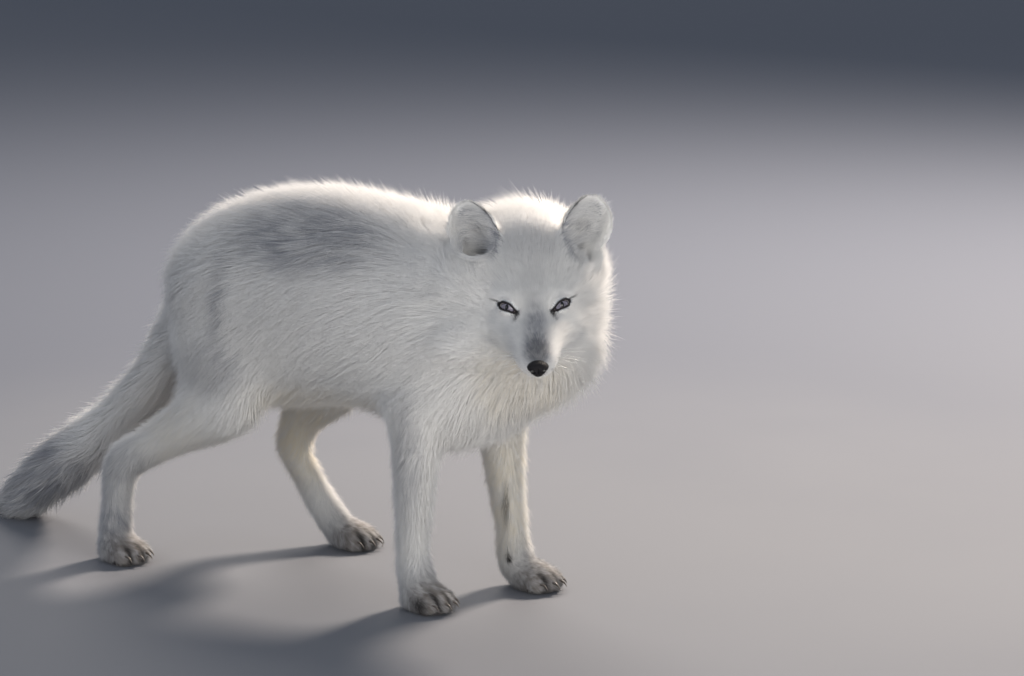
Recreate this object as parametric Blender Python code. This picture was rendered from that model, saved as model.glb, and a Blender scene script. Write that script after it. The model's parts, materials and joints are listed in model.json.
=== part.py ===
"""A life-size arctic fox in its long white winter coat, standing and looking to its right.

The fox faces -Y, its left side is +X, and it stands on z = 0. Every solid runs out to the tips of the coat. The body
is first made whole: oval sections are lofted along the trunk, neck, head, legs and tail, a voxel remesh joins them,
and a smoothing softens the joins. Thin cuts then part it into its named nodes. Sizes below are in millimetres and
degrees, and MM turns them into Blender's metres.
"""

import math

import bmesh
import bpy
from mathutils import Matrix, Vector
from mathutils.bvhtree import BVHTree

MM = 0.001

# Driving dimensions
HEAD_TURN = 54.0  # to the fox's right, from straight ahead
HEAD_DROP = 24.5  # the muzzle's slope below level
HEAD_LEAN = 3.0  # the crown's lean towards the fox's right
HEAD_AT = Vector((-41.0, -191.5, 258.0))  # midway between the eyes
EYE_SPACING = 43.0
EYE_RADIUS = 7.8
EYE_SHOWS = 1.2  # how far the ball stands out of its socket
NOSE_SIZE = Vector((8.2, 6.0, 6.2))
EAR_LENGTH = 58.0
PAW_LENGTH = 52.0
PAW_WIDTH = 41.0
CLAW_LENGTH = 6.5
CLAW_RADIUS = 1.5

# Making
CUT = 0.3  # width of the cut between two nodes
VOXEL = 2.2
BODY_TRIANGLES = 3340
LOFT_SIDES = 28
LOFT_STEPS = 6
SLEEVE_SIDES = 12

UP = Vector((0.0, 0.0, 1.0))
LEFT = Vector((1.0, 0.0, 0.0))
RIGHT = Vector((-1.0, 0.0, 0.0))

# Colour (linear) and roughness
FINISHES = {
    "fur_white": ((0.78, 0.76, 0.72), 0.85),
    "fur_paw": ((0.30, 0.26, 0.22), 0.85),
    "nose_leather": ((0.012, 0.011, 0.012), 0.35),
    "eye_gloss": ((0.05, 0.045, 0.06), 0.08),
}


# ---------------------------------------------------------------- sections
# Each station of a loft is a centre and three half sizes: to either side, over the centre and under it.
# On a leg "over" is its rear edge and "under" its front edge.


def along_trunk():
    """From the breast to the rump: place along Y, half width, top of the coat and its underside."""
    sections = (
        (-172, 30, 250, 186),
        (-158, 54, 276, 158),
        (-132, 72, 300, 132),
        (-96, 80, 315, 118),
        (-60, 82, 320, 132),
        (-20, 82, 326, 143),
        (30, 81, 330, 142),
        (80, 80, 325, 133),
        (125, 77, 313, 142),
        (158, 66, 296, 172),
        (180, 46, 274, 198),
        (192, 24, 254, 220),
    )
    stations = []
    for place, half_width, top, underside in sections:
        middle = (top + underside) / 2
        stations.append((0, place, middle, half_width, top - middle, middle - underside))
    return stations


def along_neck(head):
    """From between the shoulder blades to the nape."""
    return [
        (0, -40, 236, 70, 70, 70),
        (3, -104, 234, 78, 78, 78),
        (*(head @ Vector((0, -80, -20))), 70, 62, 66),
        (*(head @ Vector((0, -44, -24))), 52, 44, 50),
    ]


def along_head(head, sections):
    """Stations given in the head's own frame: place ahead of the eyes, height of the widest point, and sizes."""
    return [(*(head @ Vector((0, ahead, height))), *sizes) for ahead, height, *sizes in sections]


SKULL = (  # from the nape over the crown and down the muzzle to the nose
    (-100, -10, 32, 38, 34),
    (-86, -6, 43, 45, 40),
    (-68, -6, 47, 47, 42),
    (-50, -7, 51, 44, 42),
    (-34, -8, 50, 38, 40),
    (-20, -9, 44.5, 29.5, 36),
    (-8, -11, 36.5, 24.5, 28),
    (3, -14, 30.5, 18.5, 26),
    (13, -16, 26.5, 15.2, 24.5),
    (25, -17, 23.5, 13.3, 22.5),
    (37, -18, 19.4, 12, 19),
    (48, -19, 16.2, 10.4, 15.5),
    (57, -20.5, 12.4, 8.8, 12),
    (63, -22, 7.8, 6, 7.5),
)
CHEEKS = (  # the wide fur of the cheeks and jaw, from behind the ears to the corners of the mouth
    (-94, -30, 38, 28, 32),
    (-74, -30, 58, 40, 42),
    (-53, -29, 65.5, 43, 41),
    (-35, -27, 63, 40, 39),
    (-20, -25, 56, 35, 36),
    (-8, -23.5, 47, 29.5, 32),
    (3, -22, 38.5, 24, 28),
    (13, -21, 31.5, 18.5, 24.5),
    (24, -20.5, 25, 13, 20),
    (33, -20, 19, 9, 15),
)


def along_tail():
    """From the rump to the tip, which rests on the ground."""
    sections = (
        (148, 258, 32),
        (166, 230, 30),
        (186, 196, 27.5),
        (209, 160, 26.5),
        (243, 124, 25),
        (286, 88, 25),
        (330, 57, 26.5),
        (366, 30, 25),
        (391, 14, 17),
        (406, 7, 8),
    )
    return [(0, place, height, radius * 1.06, radius, radius) for place, height, radius in sections]


def along_foreleg(side, elbow, wrist):
    """A near straight leg: shoulder, elbow, forearm, wrist, and down into the paw."""
    x = 50 * side
    return [
        (x * 0.70, elbow, 240, 26, 34, 36),
        (x * 0.86, elbow, 200, 29, 36, 38),
        (x * 0.97, elbow, 164, 26, 30, 31),
        (x, elbow, 136, 21.5, 23, 23),
        (x, (2 * elbow + wrist) / 3, 104, 18.5, 20, 18),
        (x, (elbow + 2 * wrist) / 3, 76, 16.5, 17.5, 15.5),
        (x, wrist, 50, 14.5, 15, 15),
        (x, wrist - 2, 28, 14.5, 15, 15),
        (x, wrist - 5, 11, 15, 15, 15),
    ]


def along_hind_leg(side, knee, shank, hock, heel):
    """Thigh, knee, shank, hock and the upright rear of the foot."""
    hip = Vector((36 * side, 128, 240))
    thigh = hip.lerp(knee, 0.5) + LEFT * side * 6
    foot = hock.lerp(heel, 0.5)
    return [
        (*hip, 26, 46, 48),
        (*thigh, 30, 52, 46),
        (*knee, 24, 44, 31),
        (*shank, 19.5, 25, 22),
        (*shank.lerp(hock, 0.5), 16.5, 19, 19),
        (*hock, 14.5, 16, 21),
        (*foot, 13.5, 14.5, 14.5),
        (*heel, 14, 15, 15),
    ]


# ---------------------------------------------------------------- shapes


def head_frame():
    """The head's own axes at a point midway between the eyes: X to its right, Y ahead, Z up, in millimetres."""
    turn = Matrix.Rotation(math.radians(180 - HEAD_TURN), 4, "Z")
    drop = Matrix.Rotation(math.radians(-HEAD_DROP), 4, "X")
    lean = Matrix.Rotation(math.radians(HEAD_LEAN), 4, "Y")
    return Matrix.Translation(HEAD_AT) @ turn @ drop @ lean


def between(stations, steps):
    """The stations with smooth ones added between them, by a Catmull-Rom curve."""
    rows = [Vector(station) for station in stations]
    rows = [rows[0] * 2 - rows[1], *rows, rows[-1] * 2 - rows[-2]]
    found = []
    for a, b, c, d in zip(rows, rows[1:], rows[2:], rows[3:]):
        for step in range(steps):
            t = step / steps
            bend = 2 * b + (c - a) * t + (2 * a - 5 * b + 4 * c - d) * t**2 + (3 * b - a - 3 * c + d) * t**3
            found.append(bend / 2)
    return [*found, rows[-2]]


def as_object(name, mesh):
    """Puts a bmesh in the scene as an object, and frees it."""
    data = bpy.data.meshes.new(name)
    mesh.to_mesh(data)
    mesh.free()
    made = bpy.data.objects.new(name, data)
    bpy.context.scene.collection.objects.link(made)
    return made


def bridge(name, rings):
    """A closed mesh through rings of points, with a flat cap at each end."""
    mesh = bmesh.new()
    loops = [[mesh.verts.new(point * MM) for point in ring] for ring in rings]
    count = len(loops[0])
    for one, two in zip(loops, loops[1:]):
        for i in range(count):
            j = (i + 1) % count
            mesh.faces.new((one[i], one[j], two[j], two[i]))
    mesh.faces.new(loops[0][::-1])
    mesh.faces.new(loops[-1])
    bmesh.ops.recalc_face_normals(mesh, faces=mesh.faces)
    return as_object(name, mesh)


def loft(name, stations, side, heading=None, sides=LOFT_SIDES, steps=LOFT_STEPS):
    """A body with oval sections. side is the way its width runs, and heading the way all its sections face."""
    rows = between(stations, steps)
    rings = []
    for i, row in enumerate(rows):
        before, after = rows[max(i - 1, 0)], rows[min(i + 1, len(rows) - 1)]
        along = heading or (Vector(after[:3]) - Vector(before[:3])).normalized()
        across = (side - along * side.dot(along)).normalized()
        above = across.cross(along)
        half_width, over, under = row[3:]
        ring = []
        for k in range(sides):
            angle = math.tau * k / sides
            height = over if math.sin(angle) > 0 else under
            ring.append(Vector(row[:3]) + across * half_width * math.cos(angle) + above * height * math.sin(angle))
        rings.append(ring)
    return bridge(name, rings)


def ball(name, centre, radii, turn, rows=12):
    """An ellipsoid with these half sizes, turned by a matrix."""
    mesh = bmesh.new()
    bmesh.ops.create_uvsphere(mesh, u_segments=rows * 5 // 3, v_segments=rows, radius=1.0)
    size = Matrix.Diagonal((*radii, 1.0))
    place = Matrix.Scale(MM, 4) @ Matrix.Translation(centre) @ turn.to_4x4() @ size
    bmesh.ops.transform(mesh, matrix=place, verts=mesh.verts)
    return as_object(name, mesh)


def block(name, frame, low, high):
    """A box between two corners given in a frame's own axes."""
    mesh = bmesh.new()
    bmesh.ops.create_cube(mesh, size=1.0)
    low, high = Vector(low), Vector(high)
    place = Matrix.Translation((low + high) / 2) @ Matrix.Diagonal((*(high - low), 1.0))
    bmesh.ops.transform(mesh, matrix=Matrix.Scale(MM, 4) @ frame @ place, verts=mesh.verts)
    bmesh.ops.recalc_face_normals(mesh, faces=mesh.faces)
    return as_object(name, mesh)


def wrap(mesh):
    """Replaces a mesh with its convex hull."""
    hull = bmesh.ops.convex_hull(mesh, input=mesh.verts, use_existing_faces=False)
    spare = {item for item in hull["geom_interior"] + hull["geom_unused"] if isinstance(item, bmesh.types.BMVert)}
    bmesh.ops.delete(mesh, geom=list(spare), context="VERTS")
    bmesh.ops.recalc_face_normals(mesh, faces=mesh.faces)


def sleeve(name, rings):
    """A convex body round a limb, through level ovals: centre, half width and half depth."""
    mesh = bmesh.new()
    for x, y, z, width, depth in rings:
        for k in range(SLEEVE_SIDES):
            angle = math.tau * k / SLEEVE_SIDES
            mesh.verts.new(Vector((x + width * math.cos(angle), y + depth * math.sin(angle), z)) * MM)
    wrap(mesh)
    return as_object(name, mesh)


def ear_axes(head, side):
    """Where an ear grows from, the way it rises, and its outward and forward sides."""
    foot = head @ Vector((-side * 41, -44, 2))
    turn = head.to_3x3()
    opening = (turn @ Vector((-side * 0.30, 0.93, 0.20))).normalized()
    rise = turn @ Vector((-side * 0.12, -0.10, 0.98))
    rise = (rise - opening * rise.dot(opening)).normalized()
    outward = rise.cross(opening) * side
    return foot, rise, outward, opening


def ear(name, head, side, count=13, steps=2):
    """A rounded ear, cupped towards the front: each section is a crescent."""
    foot, rise, outward, opening = ear_axes(head, side)
    profile = ((0.0, 17), (0.22, 21), (0.48, 23.2), (0.70, 21), (0.85, 16), (0.95, 9.5), (1.0, 4))
    rings = []
    for t, half_width in between(profile, steps):
        cup = 16 * (1 - t) ** 0.8 + 2.0
        wall = 6.5 - 1.5 * t
        middle = foot + rise * EAR_LENGTH * t + outward * 3 * t
        back, front = [], []
        for k in range(count):
            across = -1 + 2 * k / (count - 1)
            hollow = 1 - across**2
            edge = middle + outward * half_width * across
            back.append(edge - opening * (cup * hollow + wall * (0.6 + 0.4 * hollow)))
            front.append(edge - opening * cup * hollow)
        rings.append([*back, *front[::-1]])
    return bridge(name, rings)


def ear_hollow(head, side):
    """What is scooped out ahead of an ear, so that its cup stays open down to the head."""
    foot, rise, _, opening = ear_axes(head, side)
    turn = Matrix((opening.cross(rise), opening, rise)).transposed()
    return ball("hollow", foot + rise * 20 - opening * 1.5, (14.5, 12.5, 21), turn, rows=8)


TOES = ((-1.45, 12), (-0.5, 18), (0.5, 18), (1.45, 12))  # across and ahead, for each toe


def paw(name, at, turn):
    """A furred paw: a low pad and four toes, reaching a little under the ground so that the cut there is flat."""
    heading = Matrix.Rotation(math.radians(turn), 3, "Z")
    made = [ball(name, at + UP * 10, (PAW_WIDTH * 0.43, PAW_LENGTH * 0.42, 15.5), heading)]
    for across, ahead in TOES:
        toe = at + heading @ Vector((across * PAW_WIDTH * 0.24, -ahead, 0)) + UP * 8
        made.append(ball(name, toe, (PAW_WIDTH * 0.16, PAW_LENGTH * 0.21, 10), heading))
    return made


def claws(name, at, turn):
    """Four short claws, one at the front of each toe, pointing ahead and down."""
    heading = Matrix.Rotation(math.radians(turn), 3, "Z")
    made = []
    for across, ahead in TOES:
        root = at + heading @ Vector((across * PAW_WIDTH * 0.24, -ahead - PAW_LENGTH * 0.21 + 4, 0)) + UP * 8.5
        stations = [
            (*(root + heading @ Vector((0, -reach * CLAW_LENGTH, -drop))), *([CLAW_RADIUS * size] * 3))
            for reach, drop, size in ((-0.3, -0.3, 1.0), (0.4, 0.8, 1.0), (0.8, 2.4, 0.72), (1.05, 4.4, 0.25))
        ]
        made.append(loft(name, stations, LEFT, sides=5, steps=1))
    return made


# ---------------------------------------------------------------- joining and parting


def fixed(made):
    """The object with its modifiers turned into mesh."""
    graph = bpy.context.evaluated_depsgraph_get()
    data = bpy.data.meshes.new_from_object(made.evaluated_get(graph))
    made.modifiers.clear()
    made.data = data
    return made


def edit(made, change):
    """Runs a function on the object's mesh."""
    mesh = bmesh.new()
    mesh.from_mesh(made.data)
    change(mesh)
    mesh.to_mesh(made.data)
    mesh.free()
    return made


def joined(name, pieces):
    """All the pieces as one mesh."""
    mesh = bmesh.new()
    for piece in pieces:
        mesh.from_mesh(piece.data)
        bpy.data.objects.remove(piece)
    return as_object(name, mesh)


def copied(made, name):
    """A second object with the same mesh."""
    twin = bpy.data.objects.new(name, made.data.copy())
    bpy.context.scene.collection.objects.link(twin)
    return twin


def combine(made, other, operation):
    """One Boolean of closed meshes, turned into mesh."""
    change = made.modifiers.new(operation.lower(), "BOOLEAN")
    change.operation = operation
    change.solver = "MANIFOLD"
    change.object = other
    return fixed(made)


def keep_largest(mesh):
    """Drops the slivers that a cut can leave beside the piece."""
    left = set(mesh.verts)
    groups = []
    while left:
        found, edge = set(), [left.pop()]
        while edge:
            vertex = edge.pop()
            found.add(vertex)
            for link in vertex.link_edges:
                other = link.other_vert(vertex)
                if other in left:
                    left.remove(other)
                    edge.append(other)
        groups.append(found)
    groups.sort(key=len)
    for group in groups[:-1]:
        bmesh.ops.delete(mesh, geom=list(group), context="VERTS")


def grow(mesh):
    """Moves every point out by the width of a cut."""
    mesh.normal_update()
    moves = [(vertex, vertex.normal * CUT * MM) for vertex in mesh.verts]
    for vertex, move in moves:
        vertex.co += move


def carve(body, name, region):
    """What the region holds becomes a node, and the body keeps clear of it by the width of a cut."""
    taken = combine(copied(body, name), region, "INTERSECT")
    combine(body, edit(region, grow), "DIFFERENCE")
    bpy.data.objects.remove(region)
    edit(body, keep_largest)
    return edit(taken, keep_largest)


def halve(made, name, point, normal):
    """What lies beyond a plane becomes a node of its own."""
    beyond = copied(made, name)
    for piece, way in ((made, 1), (beyond, -1)):

        def cut(mesh):
            slice_off(mesh, point + normal.normalized() * (-way * CUT / 2), normal * way)
            keep_largest(mesh)

        edit(piece, cut)
    return beyond


def slice_off(mesh, point, normal):
    """Removes what lies beyond a plane, and closes the cut."""
    everything = [*mesh.verts, *mesh.edges, *mesh.faces]
    bmesh.ops.bisect_plane(mesh, geom=everything, plane_co=point * MM, plane_no=normal, clear_outer=True)
    rim = [item for item in mesh.edges if item.is_boundary]
    bmesh.ops.triangle_fill(mesh, edges=rim, use_beauty=True)
    bmesh.ops.recalc_face_normals(mesh, faces=mesh.faces)


def share(value, low, high):
    """How far a value is from low to high, held between 0 and 1."""
    return min(1.0, max(0.0, (value - low) / (high - low)))


def softness(point, head):
    """How much the smoothing may move a point: most at the neck, less on the trunk, little on face, tail and feet."""
    across, ahead, height = head.inverted() @ point
    behind = 1 - share(ahead, -88, -28)
    below = 1 - share(height, -62, -38)
    trunk = share(point.z, 30, 130) * (1 - share(point.y, 165, 215))
    neck = 1 - share((point - Vector((8, -128, 240))).length, 0, 130)
    body = 0.07 + 0.93 * max(behind, below) * trunk * (0.36 + 0.64 * neck)
    on_ear = share(height, 6, 20) * share(abs(across), 17, 26) * share(ahead, -84, -76)
    return body * (1 - on_ear) + 0.014 * on_ear


def whole_body(pieces, head):
    """One skin, its joins softened, with few enough triangles, and cut flat on the ground."""
    body = joined("trunk", pieces)
    fuse = body.modifiers.new("fuse", "REMESH")
    fuse.mode = "VOXEL"
    fuse.voxel_size = VOXEL * MM
    fixed(body)
    soft = body.vertex_groups.new(name="soft")
    for vertex in body.data.vertices:
        soft.add([vertex.index], softness(vertex.co / MM, head), "REPLACE")
    smooth = body.modifiers.new("soften", "SMOOTH")
    smooth.factor = 0.5
    smooth.iterations = 220
    smooth.vertex_group = soft.name
    fixed(body)
    body.vertex_groups.clear()
    reduce = body.modifiers.new("reduce", "DECIMATE")
    reduce.use_collapse_triangulate = True
    reduce.ratio = BODY_TRIANGLES / (2 * len(body.data.polygons))
    fixed(body)
    for side in (-1, 1):
        hollow = ear_hollow(head, side)
        combine(body, hollow, "DIFFERENCE")
        bpy.data.objects.remove(hollow)
    return edit(body, lambda mesh: slice_off(mesh, Vector(), -UP))


# ---------------------------------------------------------------- the fox


def masses(head, feet):
    """Everything that joins into the body."""
    to_head = Matrix.Rotation(math.radians(180 - HEAD_TURN), 3, "Z")
    made = [
        loft("trunk", along_trunk(), LEFT, heading=LEFT.cross(UP) * -1),
        loft("neck", along_neck(head), RIGHT),
        loft("skull", along_head(head, SKULL), head.to_3x3() @ LEFT),
        loft("cheeks", along_head(head, CHEEKS), head.to_3x3() @ LEFT),
        loft("tail", along_tail(), LEFT),
        ball("ruff", Vector((6, -152, 220)), (71, 62, 67), to_head, rows=24),
        ball("ruff", Vector((22, -164, 252)), (52, 52, 56), to_head, rows=22),
        loft("foreleg", along_foreleg(-1, -86, -82), LEFT),
        loft("foreleg", along_foreleg(1, -100, -110), LEFT),
    ]
    right = [Vector(at) for at in ((-54, 96, 149), (-61, 147, 120), (-66, 209, 86), (-69, 216, 16))]
    left = [Vector(at) for at in ((54, 74, 152), (61, 110, 118), (65, 130, 84), (73, 88, 18))]
    made.append(loft("hindleg", along_hind_leg(-1, *right), LEFT))
    made.append(loft("hindleg", along_hind_leg(1, *left), LEFT))
    for at in feet.values():
        made += paw("paw", at, 0)
    return made


def surface_ahead(body, head, across, height):
    """The point of the body straight ahead of a point of the head, and the way the surface faces there."""
    tree = BVHTree.FromObject(body, bpy.context.evaluated_depsgraph_get())
    start = head @ Vector((across, 200, height)) * MM
    place, normal, *_ = tree.ray_cast(start, head.to_3x3() @ Vector((0, -1, 0)))
    return place / MM, normal


def set_in(body, name, centre, radii, turn, rows):
    """A ball in a socket of its own shape."""
    made = ball(name, centre, radii, turn, rows)
    socket = edit(copied(made, "socket"), grow)
    combine(body, socket, "DIFFERENCE")
    bpy.data.objects.remove(socket)
    edit(body, keep_largest)
    return made


def ear_region(name, head, side, point, above):
    """A little more than an ear, from a plane near its foot upwards."""
    mesh = bmesh.new()
    shape = ear("ear", head, side, count=5, steps=1)
    mesh.from_mesh(shape.data)
    bpy.data.objects.remove(shape)
    for vertex in list(mesh.verts):
        for way in (LEFT, RIGHT, UP, -UP, LEFT.cross(UP), UP.cross(LEFT)):
            mesh.verts.new(vertex.co + way * 2.5 * MM)
    bmesh.ops.delete(mesh, geom=list(mesh.faces), context="FACES_KEEP_BOUNDARY")
    wrap(mesh)
    slice_off(mesh, point, -above)
    return as_object(name, mesh)


def part_head(body, head):
    """The head's node with its ears, eyes and nose."""
    nodes = []
    for side, name in ((-1, "ear_right"), (1, "ear_left")):
        foot, rise, outward, opening = ear_axes(head, side)
        above = outward * 0.603 + rise * 0.798
        nodes.append(carve(body, name, ear_region("region", head, side, foot + above * 15, above)))
    skull = carve(body, "head", block("region", head, (-78, -66, -49), (67, 95, 90)))
    nodes.append(skull)
    for side, name in ((-1, "eye_right"), (1, "eye_left")):
        lid, gaze = surface_ahead(skull, head, -side * EYE_SPACING / 2, 0)
        centre = lid - gaze * (EYE_RADIUS - EYE_SHOWS)
        nodes.append(set_in(skull, name, centre, [EYE_RADIUS] * 3, head.to_3x3(), 8))
    tip, _ = surface_ahead(skull, head, 0, -19)
    at = tip - head.to_3x3() @ Vector((0, 2.4, 0))
    nodes.append(set_in(skull, "nose", at, NOSE_SIZE, head.to_3x3(), 8))
    return nodes


def part_legs(body, feet):
    """Each leg's nodes, with the claws joined to the paws."""
    nodes = []
    for side, name, top, foot in ((-1, "right", -86, -98), (1, "left", -104, -130)):
        rings = [
            (side * 46, top, 198, 6, 7),
            (side * 46, top, 192, 18, 21),
            (side * 49, top, 172, 27, 34),
            (side * 51, top, 146, 30, 39),
            (side * 56, foot, 40, 38, 50),
            (side * 60, foot, -20, 46, 70),
        ]
        leg = carve(body, f"foreleg_{name}", sleeve("region", rings))
        nodes += [leg, halve(leg, f"forepaw_{name}", Vector((0, 0, 34)), -UP)]
    for side, name, knee, foot, toes in ((-1, "right", 96, 175, 190), (1, "left", 80, 104, 84)):
        rings = [
            (side * 74, 118, 268, 5, 6),
            (side * 72, 118, 260, 18, 24),
            (side * 69, 117, 238, 29, 46),
            (side * 66, 112, 200, 35, 58),
            (side * 70, knee + 16, 150, 42, 66),
            (side * 76, foot, 60, 47, 78),
            (side * 80, toes, -20, 50, 80),
        ]
        leg = carve(body, f"thigh_{name}", sleeve("region", rings))
        shank = halve(leg, f"shank_{name}", Vector((0, knee, 142)), Vector((0, 0.35, -0.94)))
        nodes += [leg, shank, halve(shank, f"hindpaw_{name}", Vector((0, 0, 76)), -UP)]
    for node in nodes:
        if node.name in feet:
            for claw in claws("claw", feet[node.name], 0):
                combine(node, claw, "UNION")
                bpy.data.objects.remove(claw)
    return nodes


def part_tail(body):
    """The tail in two nodes."""
    lean = Matrix.Translation((0, 176, 226)) @ Matrix.Rotation(math.radians(28), 4, "X")
    base = carve(body, "tail_base", block("region", lean, (-37, -30, -330), (37, 300, 0)))
    return [base, halve(base, "tail_tip", Vector((0, 290, 90)), Vector((0, 0.80, -0.60)))]


def stand_on_origin(nodes):
    """Moves the fox so that the origin is on the floor under the middle of its bounding box."""
    points = [vertex.co for node in nodes for vertex in node.data.vertices]
    low = Vector([min(point[axis] for point in points) for axis in range(3)])
    high = Vector([max(point[axis] for point in points) for axis in range(3)])
    middle = (low + high) / 2
    for node in nodes:
        node.data.transform(Matrix.Translation((-middle.x, -middle.y, -low.z)))


def finish(made, finish_name):
    """Gives a node its material."""
    material = bpy.data.materials.get(finish_name)
    if material is None:
        colour, roughness = FINISHES[finish_name]
        material = bpy.data.materials.new(finish_name)
        material.use_nodes = True
        shader = material.node_tree.nodes["Principled BSDF"]
        shader.inputs["Base Color"].default_value = (*colour, 1.0)
        shader.inputs["Roughness"].default_value = roughness
        material.diffuse_color = (*colour, 1.0)
    made.data.materials.clear()
    made.data.materials.append(material)
    for polygon in made.data.polygons:
        polygon.material_index = 0


def main():
    for old in list(bpy.data.objects):
        bpy.data.objects.remove(old)
    head = head_frame()
    feet = {
        "forepaw_right": Vector((-51, -92, 0)),
        "forepaw_left": Vector((51, -128, 0)),
        "hindpaw_right": Vector((-70, 209, 0)),
        "hindpaw_left": Vector((76, 76, 0)),
    }
    ears = [ear("ear", head, side) for side in (-1, 1)]
    body = whole_body([*masses(head, feet), *ears], head)
    nodes = part_head(body, head) + part_legs(body, feet) + part_tail(body)
    nodes.append(halve(body, "neck", Vector((0, -112, 226)), Vector((0, -0.90, 0.43))))
    nodes.append(body)
    stand_on_origin(nodes)
    looks = {"nose": "nose_leather", "eye_left": "eye_gloss", "eye_right": "eye_gloss"}
    for node in nodes:
        paw_look = "fur_paw" if "paw" in node.name else "fur_white"
        finish(node, looks.get(node.name, paw_look))


if __name__ == "__main__":
    main()
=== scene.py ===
"""The looks of a life-size arctic fox in its winter coat.

One skin replaces the solids of flesh and lies under them by the depth of the coat. Small closed tufts
grow from it and reach out to the solids' surface, following the lie of the coat. Eyes, nose, lips,
whiskers, claws and pads are pieces of their own. The fox faces -Y, its left side is +X, and it stands
on z = 0. Sizes are in millimetres, and MM turns them into metres. A range in a call of rise is in
millimetres of the frame that its first value comes from, or a share where that has no size.
"""

from __future__ import annotations

import json
import logging
import math
from dataclasses import dataclass, field
from enum import Enum
from typing import Any, Sequence

import bmesh
import bpy
import numpy as np
from mathutils import Matrix, Vector
from mathutils.bvhtree import BVHTree
from mathutils.kdtree import KDTree

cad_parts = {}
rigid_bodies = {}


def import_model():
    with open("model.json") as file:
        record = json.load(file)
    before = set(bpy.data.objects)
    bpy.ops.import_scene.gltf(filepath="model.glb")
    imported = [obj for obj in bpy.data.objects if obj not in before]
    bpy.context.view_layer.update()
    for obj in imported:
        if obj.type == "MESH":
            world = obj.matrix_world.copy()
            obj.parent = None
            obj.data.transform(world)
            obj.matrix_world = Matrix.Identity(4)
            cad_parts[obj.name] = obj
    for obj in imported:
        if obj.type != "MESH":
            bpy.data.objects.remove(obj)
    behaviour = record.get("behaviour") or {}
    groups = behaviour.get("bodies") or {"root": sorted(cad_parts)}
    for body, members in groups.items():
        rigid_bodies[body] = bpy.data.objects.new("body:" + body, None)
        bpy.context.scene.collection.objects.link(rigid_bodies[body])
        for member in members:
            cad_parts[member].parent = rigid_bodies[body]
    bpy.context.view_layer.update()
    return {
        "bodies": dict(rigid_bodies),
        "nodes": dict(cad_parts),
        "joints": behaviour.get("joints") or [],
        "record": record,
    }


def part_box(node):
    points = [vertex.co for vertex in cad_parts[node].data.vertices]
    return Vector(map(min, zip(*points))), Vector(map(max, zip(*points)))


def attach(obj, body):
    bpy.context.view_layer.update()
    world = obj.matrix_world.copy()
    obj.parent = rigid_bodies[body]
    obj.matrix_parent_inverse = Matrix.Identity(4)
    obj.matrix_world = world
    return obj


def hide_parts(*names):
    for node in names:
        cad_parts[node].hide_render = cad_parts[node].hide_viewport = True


LOG = logging.getLogger("fox")
MM = 0.001
SEED = 20
UP = np.array((0.0, 0.0, 1.0))
FAR_MM = 99.0  # farther than anything on the fox
Array = np.ndarray
Triple = tuple[float, float, float]
Tube = tuple[Array, Array, Array]  # points, triangles, and how far along each point is


# ------------------------------------------------------------------ small helpers


def unit(vectors: Array) -> Array:
    """The same vectors with length one."""
    return vectors / np.maximum(np.linalg.norm(vectors, axis=-1, keepdims=True), 1e-9)


def dot(a: Array, b: Array) -> Array:
    """Row by row scalar product."""
    return np.einsum("...i,...i->...", a, b)


def rise(value: Array, low: float, high: float) -> Array:
    """A smooth step.

    Args:
        value: Where to read it.
        low: Where it is 0.
        high: Where it is 1. It may be below low, which turns the step round.

    Returns:
        Numbers from 0 to 1.
    """
    t = np.clip((value - low) / (high - low), 0.0, 1.0)
    return t * t * (3 - 2 * t)


def wobble(points: Array, size_mm: float, seed: int) -> Array:
    """A smooth random vector at each point, about one long.

    Args:
        points: Places in metres.
        size_mm: Over what distance it changes.
        seed: The start of its random numbers.

    Returns:
        One vector for each point.
    """
    waves, swing, total_swing = 5, 2.4, 2.2
    rng = np.random.default_rng(seed)
    total = np.zeros_like(points)
    for _ in range(waves):
        wave = rng.normal(size=(3, 3)) * (swing / (size_mm * MM))
        total += np.sin(points @ wave + rng.uniform(0, 2 * math.pi, 3))
    return total / total_swing


def flat_to(vectors: Array, normals: Array) -> Array:
    """What is left of the vectors along a surface, with length one."""
    return unit(vectors - normals * dot(vectors, normals)[:, None])


def linked(name: str, data: bpy.types.ID) -> bpy.types.Object:
    """A new object in the scene that holds the data.

    Args:
        name: Its name.
        data: A mesh, light or camera.

    Returns:
        The object.
    """
    made = bpy.data.objects.new(name, data)
    bpy.context.scene.collection.objects.link(made)
    return made


def new_object(name: str, points: Array, faces: Array, material: bpy.types.Material) -> bpy.types.Object:
    """A mesh object from arrays.

    Args:
        name: The piece's name.
        points: Places in metres.
        faces: Corner indices, one row to a face, all with the same number of corners.
        material: Its finish.

    Returns:
        The linked object, shaded smooth.
    """
    mesh = bpy.data.meshes.new(name)
    mesh.vertices.add(len(points))
    mesh.vertices.foreach_set("co", np.ascontiguousarray(points, np.float32).ravel())
    mesh.loops.add(faces.size)
    mesh.loops.foreach_set("vertex_index", np.ascontiguousarray(faces, np.int32).ravel())
    mesh.polygons.add(len(faces))
    mesh.polygons.foreach_set("loop_start", np.arange(0, faces.size, faces.shape[1], dtype=np.int32))
    mesh.update(calc_edges=True)
    mesh.shade_smooth()
    mesh.materials.append(material)
    return linked(name, mesh)


def read_rows(items: Any, key: str, width: int, kind: type = np.float32) -> Array:
    """One property of a mesh's vertices, edges, corners or faces.

    Args:
        items: What to read.
        key: The property's name.
        width: How many numbers each has.
        kind: The kind of number.

    Returns:
        One row for each.
    """
    flat = np.empty(len(items) * width, kind)
    items.foreach_get(key, flat)
    return flat.reshape(-1, width)


def points_of(mesh: bpy.types.Mesh) -> Array:
    """The mesh's vertex places."""
    return read_rows(mesh.vertices, "co", 3).astype(np.float64)


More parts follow.
